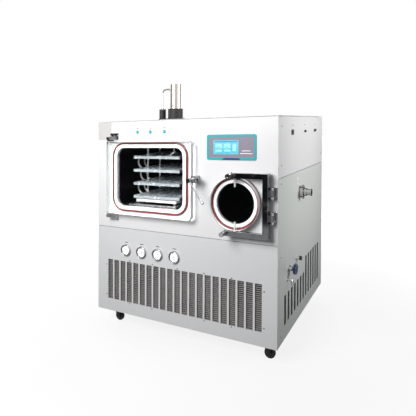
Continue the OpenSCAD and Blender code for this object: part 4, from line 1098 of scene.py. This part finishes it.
@dataclass(frozen=True)
class Controls:
    """Touch panel, buttons and gauges."""

    border: float = 12.0
    dial_angles: tuple[float, ...] = (150.0, 90.0, 25.0, 130.0)

    def panel(self) -> None:
        """Teal housing, membrane, blue tab and printed lines."""
        soften("control_panel", TEAL, 0.8)
        low, high = CABINET.box("control_panel")
        screen_low, screen_high = CABINET.box("touch_screen")
        centre, size = (low + high) / 2, high - low
        screen, opening = (screen_low + screen_high) / 2, screen_high - screen_low
        outer = rounded(size[0] - 2 * self.border - 0.6, size[2] - 2 * self.border - 0.6, 3.7, 4)
        inner = rounded(opening[0] + 0.2, opening[2] + 0.2, 0.5, 4) + (screen - centre)[[0, 2]]
        face = low[1] + 1
        Skin.ring(outer, inner, 0, 0.3).at(centre[0], face, centre[2], Face.FRONT).build(
            "panel_membrane", MEMBRANE)
        tab = np.array([(-49, -5), (49, -5), (42, 5), (-42, 5)], float)
        Skin.stack(tab, [(0, 0), (0, 0.15)]).at(centre[0] + 2.5, low[1], low[2] + 6, Face.FRONT).build(
            "panel_tab", NAVY)
        rows = [plate(w, 3.8, 0.1, 0.5, 0.03).at(high[0] - 52, face - 0.3, low[2] + z, Face.FRONT)
                for w, z in ((44, 46), (64, 33))]
        gathered(rows).build("panel_lines", PALE_PRINT)

    def screen(self) -> None:
        """Lit screen with plain tiles and bars."""
        low, high = CABINET.box("touch_screen")
        centre, size = (low + high) / 2, high - low
        soften("touch_screen", Screen("lcd", low=low[2], high=high[2]), 0.3)
        tiles = [(-0.28, 0.10, 0.26, 0.30), (0.06, 0.10, 0.26, 0.30), (0.34, -0.02, 0.14, 0.5),
                 (-0.28, -0.24, 0.26, 0.14), (0.06, -0.24, 0.26, 0.14)]
        bars = [(0.0, 0.40, 0.92, 0.09), (-0.3, 0.02, 0.16, 0.03), (0.04, 0.02, 0.16, 0.03)]
        drawn = [plate(w * size[0], h * size[2], 0.1, 1, 0.03).tinted(tint).at(
            centre[0] + x * size[0], low[1] - 0.05 * tint, centre[2] + z * size[2], Face.FRONT)
            for tint, group in enumerate((tiles, bars)) for x, z, w, h in group]
        gathered(drawn).build("screen_picture", Lit("tile_light", (0.35, 0.75, 0.8), 0.3),
                              Lit("bar_light", (0.03, 0.3, 0.5), 0.5))

    def buttons(self) -> None:
        """Lit caps in chromed bezels, with a dash above each."""
        green = Lit("green_lens", (0.0, 0.42, 0.22), 0.8)
        blue = Lit("blue_lens", (0.03, 0.36, 0.6), 0.8)
        ring = [(6.8, 0), (9.6, 0), (9.6, 1.2), (8.8, 2.2), (7.4, 2.2), (6.8, 1.6)]
        bezel = Skin.lathe(ring, 48, closed=True)
        dash = plate(13, 3, 0.12, 0.5, 0.03)
        rings, dashes = [], []
        for node, lens in (("button_green", green), ("button_middle", blue), ("button_right", blue)):
            soften(node, lens, 1.2, 3)
            x, _, z = CABINET.middle(node)
            rings.append(bezel.at(x, 0, z, Face.FRONT))
            dashes.append(dash.at(x, 0, z + 21, Face.FRONT))
        gathered(rings).build("button_bezels", CHROME, slot="polished_chrome")
        gathered(dashes).build("button_marks", PRINT)

    def gauges(self) -> None:
        """Chromed cases with black sleeves painted as shade on their inner walls, printed dials with needles,
        and their glasses.
        """
        soften("gauge_cases", CHROME, 1.2, 3)
        low, high = CABINET.box("gauge_cases")
        out, size = -low[1], high[2] - low[2]
        pitch, z = (high[0] - low[0] - size) / 3, (low[2] + high[2]) / 2
        face = Skin.lathe([(0, 0), (27.6, 0), (27.6, 1), (0, 1)], 48)
        # The sleeve lines each case's inner wall and takes the dial ink: painted shade in the recess.
        shade_sleeve = Skin.lathe([(27.7, 0), (27.7, out - 3), (26.4, out - 3.6), (26.4, 0)], 48, closed=True)
        tick = plate(0.8, 3.4, 0.1, 0.3, 0.02)
        marks = [Skin(tick.points + (0, 22, 1.0), tick.faces, tick.tints).turned(a)
                 for a in np.linspace(-135, 135, 11)]
        numbers = [Skin.figures(text, 4).at(15 * math.sin(a), -15 * math.cos(a), 1.0)
                   for text, a in (("0", -0.9), ("5", math.pi), ("10", 0.9))]
        hub = Skin.lathe([(0, 4), (1.8, 4), (2.4, 3.4), (2.4, 0.6), (0, 0.6)], 24)
        needle = np.array([(-0.9, -7), (0.9, -7), (0.4, 20), (-0.4, 20)], float)
        hand = Skin.stack(needle, [(0, 1.6), (0, 2.2)])
        # Dial ink on the sleeve is painted shade; on the marks, figures and hub it is print and their own
        # black.
        printed = gathered([shade_sleeve] + marks + numbers + [hub]).tinted(1)
        glass = Skin.lathe([(0, 6.4), (20, 6.2), (26.2, 5.8), (26.2, 5.0), (20, 5.4), (0, 5.6)], 48)
        dials, panes, dashes = [], [], []
        for i, angle in enumerate(self.dial_angles):
            x = low[0] + size / 2 + i * pitch
            dials.append((face + printed + hand.tinted(1).turned(-angle)).at(x, -2, z, Face.FRONT))
            panes.append(glass.at(x, -2, z, Face.FRONT))
            dashes.append(plate(23, 4.6, 0.12, 0.5, 0.03).at(x, 0, z + 42, Face.FRONT))
        gathered(dials).build("gauge_faces", DIAL, INK, slot="gauge_dial", stands_for=["gauge_dials"])
        gathered(panes).build("gauge_glasses", GLASS)
        gathered(dashes).build("gauge_marks", PRINT)


@dataclass(frozen=True)
class SideFittings:
    """Vacuum port, valves, switch and sockets of the right side."""

    def finish(self) -> None:
        """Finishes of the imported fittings."""
        soften("vacuum_port", PORT, 0.6)
        soften("valve_bodies", CHROME, 0.5)
        soften("drain_handwheel", BLUE, 0.8)
        soften("vent_knob", BLACK, 0.6)
        soften("electrical_fittings", BLACK, 0.6)
        soften("switch_rocker", BLACK, 0.5)

    def marks(self) -> None:
        """Plain dashes above the switch, the fuse and the socket."""
        _, side = CABINET.box("right_upper_panel")
        _, y, z = CABINET.middle("switch_rocker")
        dashes = [plate(18, 3.4, 0.12, 0.5, 0.03).at(side[0], y + step, z + 36, Face.RIGHT)
                  for step in (0, 236, 470)]
        gathered(dashes).build("switch_marks", PRINT)


@dataclass(frozen=True)
class Undercarriage:
    """Casters: brackets, forks, tyres and hubs."""

    wheels: tuple[tuple[str, str], ...] = (
        ("wheel_front_left", "front_left_wheel"), ("wheel_front_right", "front_right_wheel"),
        ("wheel_rear_left", "rear_left_wheel"), ("wheel_rear_right", "rear_right_wheel"))

    def brackets(self) -> None:
        """Brackets and forks."""
        soften("caster_brackets", BLACK_COAT, 0.5)
        soften("caster_fork_left", BLACK_COAT, 0.5)
        soften("caster_fork_right", BLACK_COAT, 0.5)

    def rolling(self) -> None:
        """Tyres with rounded shoulders on plastic hubs."""
        for node, body in self.wheels:
            low, high = CABINET.box(node)
            centre, size = (low + high) / 2, high - low
            lying = Face.RIGHT if size[0] < size[1] else Face.BACK
            half, radius = min(size[:2]) / 2, size[2] / 2
            turn = np.linspace(0, math.pi / 2, 6)
            shoulder = np.column_stack([radius - 5 + 5 * np.sin(turn), half - 8 + 5 * np.cos(turn)])
            hub = [(4.1, half), (9, half), (10, half - 4), (radius - 8, half - 4), (radius - 7, half - 3)]
            side = np.vstack([hub, shoulder])
            profile = np.vstack([side, side[::-1] * (1, -1)])
            tints = [1] * 4 + [0] * (len(profile) - 9) + [1] * 5
            tyre = Skin.lathe(profile, 72, tints, closed=True).at(*centre, lying)
            tyre.build(f"{node}_tyre", Rubber("tyre_rubber"), BLACK, body=body,
                       slot="caster_rubber", stands_for=[node])


@dataclass(frozen=True)
class Refrigeration:
    """Compressor, condenser and fan behind the grilles."""

    def finish(self) -> None:
        """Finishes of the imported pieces."""
        soften("compressor", BLACK_COAT, 2.0)
        dress(Fins("fin_block"), "condenser")
        dress(ALUMINIUM, "condenser_fan")


@dataclass(frozen=True)
class Studio:
    """Pale floor, white surroundings, soft lamps and the camera."""

    eye: tuple[float, float, float] = (1151.7, -1811.7, 1054.9)
    yaw: float = -28.182
    pitch: float = -0.685
    roll: float = 0.235
    lean: float = -0.032
    lens: float = 35.248
    rise: float = -0.186
    ambient: float = 0.16
    card_tone: Colour = (0.012, 0.013, 0.016)
    glow: float = 0.86
    albedo: float = 0.1
    dimmed: float = 0.65

    def camera(self) -> None:
        """Camera set by its eye point, its three angles and its shift.

        Its level axis leans by `lean` towards its upright one, which shears the view. An object
        can't hold such a lean itself, so the camera takes it from its parent's inverse.
        """
        yaw, pitch, roll = (math.radians(angle) for angle in (self.yaw, self.pitch, self.roll))
        reach = math.cos(pitch)
        ahead = Vector((math.sin(yaw) * reach, math.cos(yaw) * reach, math.sin(pitch)))
        level = Vector((math.cos(yaw), -math.sin(yaw), 0))
        upright = level.cross(ahead)
        right = level * math.cos(roll) + upright * math.sin(roll)
        up = upright * math.cos(roll) - level * math.sin(roll)
        data = bpy.data.cameras.new("camera")
        data.lens, data.sensor_width, data.shift_y = self.lens, 36.0, self.rise
        data.clip_start, data.clip_end = 0.05, 60
        camera = bpy.data.objects.new("camera", data)
        stand = bpy.data.objects.new("camera_stand", None)
        leaning = right + up * self.lean
        axes = Matrix([(leaning[i], up[i], -ahead[i]) for i in range(3)]).to_4x4()
        camera.parent = stand
        camera.matrix_parent_inverse = Matrix.Translation(CABINET.metres(self.eye)) @ axes
        for item in (stand, camera):
            bpy.context.scene.collection.objects.link(item)
        bpy.context.scene.camera = camera

    def surroundings(self) -> None:
        """White world to what is seen, and a weaker one to what is lit."""
        world = bpy.data.worlds.new("studio")
        world.use_nodes = True
        bpy.context.scene.world = world
        g = Graph(world.node_tree)
        tone = g.blend(g.seen(), (self.ambient,) * 3, (1.0, 1.0, 1.0))
        g.show(g.node("Background", {}, {"Color": tone, "Strength": 1.0}), "World")

    def floor(self) -> None:
        """Floor that looks white, is dimmer in mirrors, keeps the shadow and sends little light back up."""
        mesh = bpy.data.meshes.new("floor")
        far = 40.0
        mesh.from_pydata([(-far, -far, 0), (far, -far, 0), (far, far, 0), (-far, far, 0)], [], [(0, 1, 2, 3)])
        floor = bpy.data.objects.new("floor", mesh)
        bpy.context.scene.collection.objects.link(floor)
        material = bpy.data.materials.new("floor")
        material.use_nodes = True
        g = Graph(material.node_tree)
        away = g.node("TexCoord", output="Object").length().step(0.9, 2.2)
        level = away * (1 - self.glow) + self.glow
        mirrored = g.node("LightPath", output="Is Glossy Ray") * self.dimmed
        strength = level * (g.seen() - mirrored)
        light = g.node("Emission", {}, {"Color": (1.0, 1.0, 1.0, 1.0), "Strength": strength})
        dull = g.node("BsdfDiffuse", {}, {"Color": (self.albedo,) * 3 + (1.0,)})
        g.show(g.node("AddShader", {}, {0: light, 1: dull}))
        mesh.materials.append(material)
        floor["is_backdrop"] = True

    def lamp(self, name: str, at: tuple[float, float, float], aim: tuple[float, float, float],
             size: float, power: float, spread: float = 180.0) -> None:
        """Square soft lamp at a place, aimed at another, both in metres, over a spread in degrees."""
        data = bpy.data.lights.new(name, "AREA")
        data.shape, data.size, data.energy, data.spread = "SQUARE", size, power, math.radians(spread)
        lamp = bpy.data.objects.new(name, data)
        lamp.visible_camera = False
        towards = Vector(aim) - Vector(at)
        lamp.matrix_world = Matrix.Translation(at) @ towards.to_track_quat("-Z", "Y").to_matrix().to_4x4()
        bpy.context.scene.collection.objects.link(lamp)

    def lamps(self) -> None:
        """Key from the front, a narrower lamp at the right side, and two that fill the back and the left."""
        self.lamp("key", (-0.4, -2.2, 1.9), (0, -0.3, 0.9), 1.2, 61)
        self.lamp("side", (2.4, 0.1, 1.5), (0.55, 0.1, 1.0), 0.9, 5, 60)
        self.lamp("rear", (-0.4, 3.2, 2.0), (0, 0.4, 0.6), 1.8, 90)
        self.lamp("left", (-3.0, 0.9, 1.9), (-0.5, 0.1, 0.6), 1.6, 60)

    def card(self, name: str, at: tuple[float, float, float], along: tuple[float, float],
             height: float, behind: bool = False) -> None:
        """Upright black card that only mirrors show, or that is seen from its front alone as painted shade.

        Args:
            name: Name of the card.
            at: Middle of its lower edge, in metres.
            along: Half of its width along X and along Y.
            height: Height.
            behind: Stands behind an opening as painted shade: the camera sees its front, mirrors don't.
        """
        x, y, z = at
        u, v = along
        mesh = bpy.data.meshes.new(name)
        mesh.from_pydata([(x - u, y - v, z), (x + u, y + v, z), (x + u, y + v, z + height),
                          (x - u, y - v, z + height)], [], [(0, 1, 2, 3)])
        card = bpy.data.objects.new(name, mesh)
        card.visible_diffuse = card.visible_shadow = False
        card.visible_camera, card.visible_glossy = behind, not behind
        bpy.context.scene.collection.objects.link(card)
        material = bpy.data.materials.new(name)
        material.use_nodes = True
        g = Graph(material.node_tree)
        shader = g.node("Emission", {}, {"Color": (*self.card_tone, 1.0), "Strength": 1.0})
        if behind:
            clear = g.node("BsdfTransparent")
            back = g.node("NewGeometry", output="Backfacing")
            shader = g.node("MixShader", {}, {0: back, 1: shader, 2: clear})
        g.show(shader)
        mesh.materials.append(material)
        card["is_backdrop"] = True

    def cards(self) -> None:
        """Dark cards: at the front left and the right rear for mirrors, and outside the left grille as
        painted shade seen through it.
        """
        low, high = (CABINET.metres(corner) for corner in CABINET.box("left_panel"))
        self.card("front_card", (-1.9, -3.0, -0.2), (1.6, 0.0), 2.1)
        self.card("side_card", (2.6, 0.9, -0.2), (0.0, 1.2), 1.3)
        # The card outside the left grille is painted shade, seen through the grille's openings.
        self.card("left_shade_card", (low[0] - 0.01, (low[1] + high[1]) / 2, low[2] + 0.03),
                  (0.0, (high[1] - low[1]) / 2 - 0.03), 0.3, True)

    def view(self) -> None:
        """How the picture's tones are shown."""
        bpy.context.scene.view_settings.view_transform = "Standard"


def corners() -> list[list[float]]:
    """The shown object's lowest and highest corner as plain lists."""
    return [list(corner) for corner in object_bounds()]


def run(*steps: Callable[[], None]) -> None:
    """Runs the steps in order."""
    for step in steps:
        step()


def main() -> None:
    """Builds each sub-assembly in turn, then the studio."""
    logging.basicConfig(level=logging.INFO, format="%(message)s")
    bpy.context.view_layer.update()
    casing, chamber, door, shelves = Casing(), ChamberFront(), ChamberDoor(), ShelfStack()
    trap, trap_door, controls = TrapFront(), TrapDoor(), Controls()
    fittings, casters, studio = SideFittings(), Undercarriage(), Studio()
    run(casing.coat, casing.screws, casing.plates)
    run(chamber.vessel, chamber.gasket, door.pane, door.hardware)
    run(shelves.plates, shelves.hoses, Press().finish)
    run(trap.vessel, trap.gasket, trap_door.pane, trap_door.hardware)
    run(controls.panel, controls.screen, controls.buttons, controls.gauges)
    run(fittings.finish, fittings.marks, casters.brackets, casters.rolling, Refrigeration().finish)
    run(studio.camera, studio.surroundings, studio.floor, studio.lamps, studio.cards, studio.view)


if __name__ == "__main__":
    main()
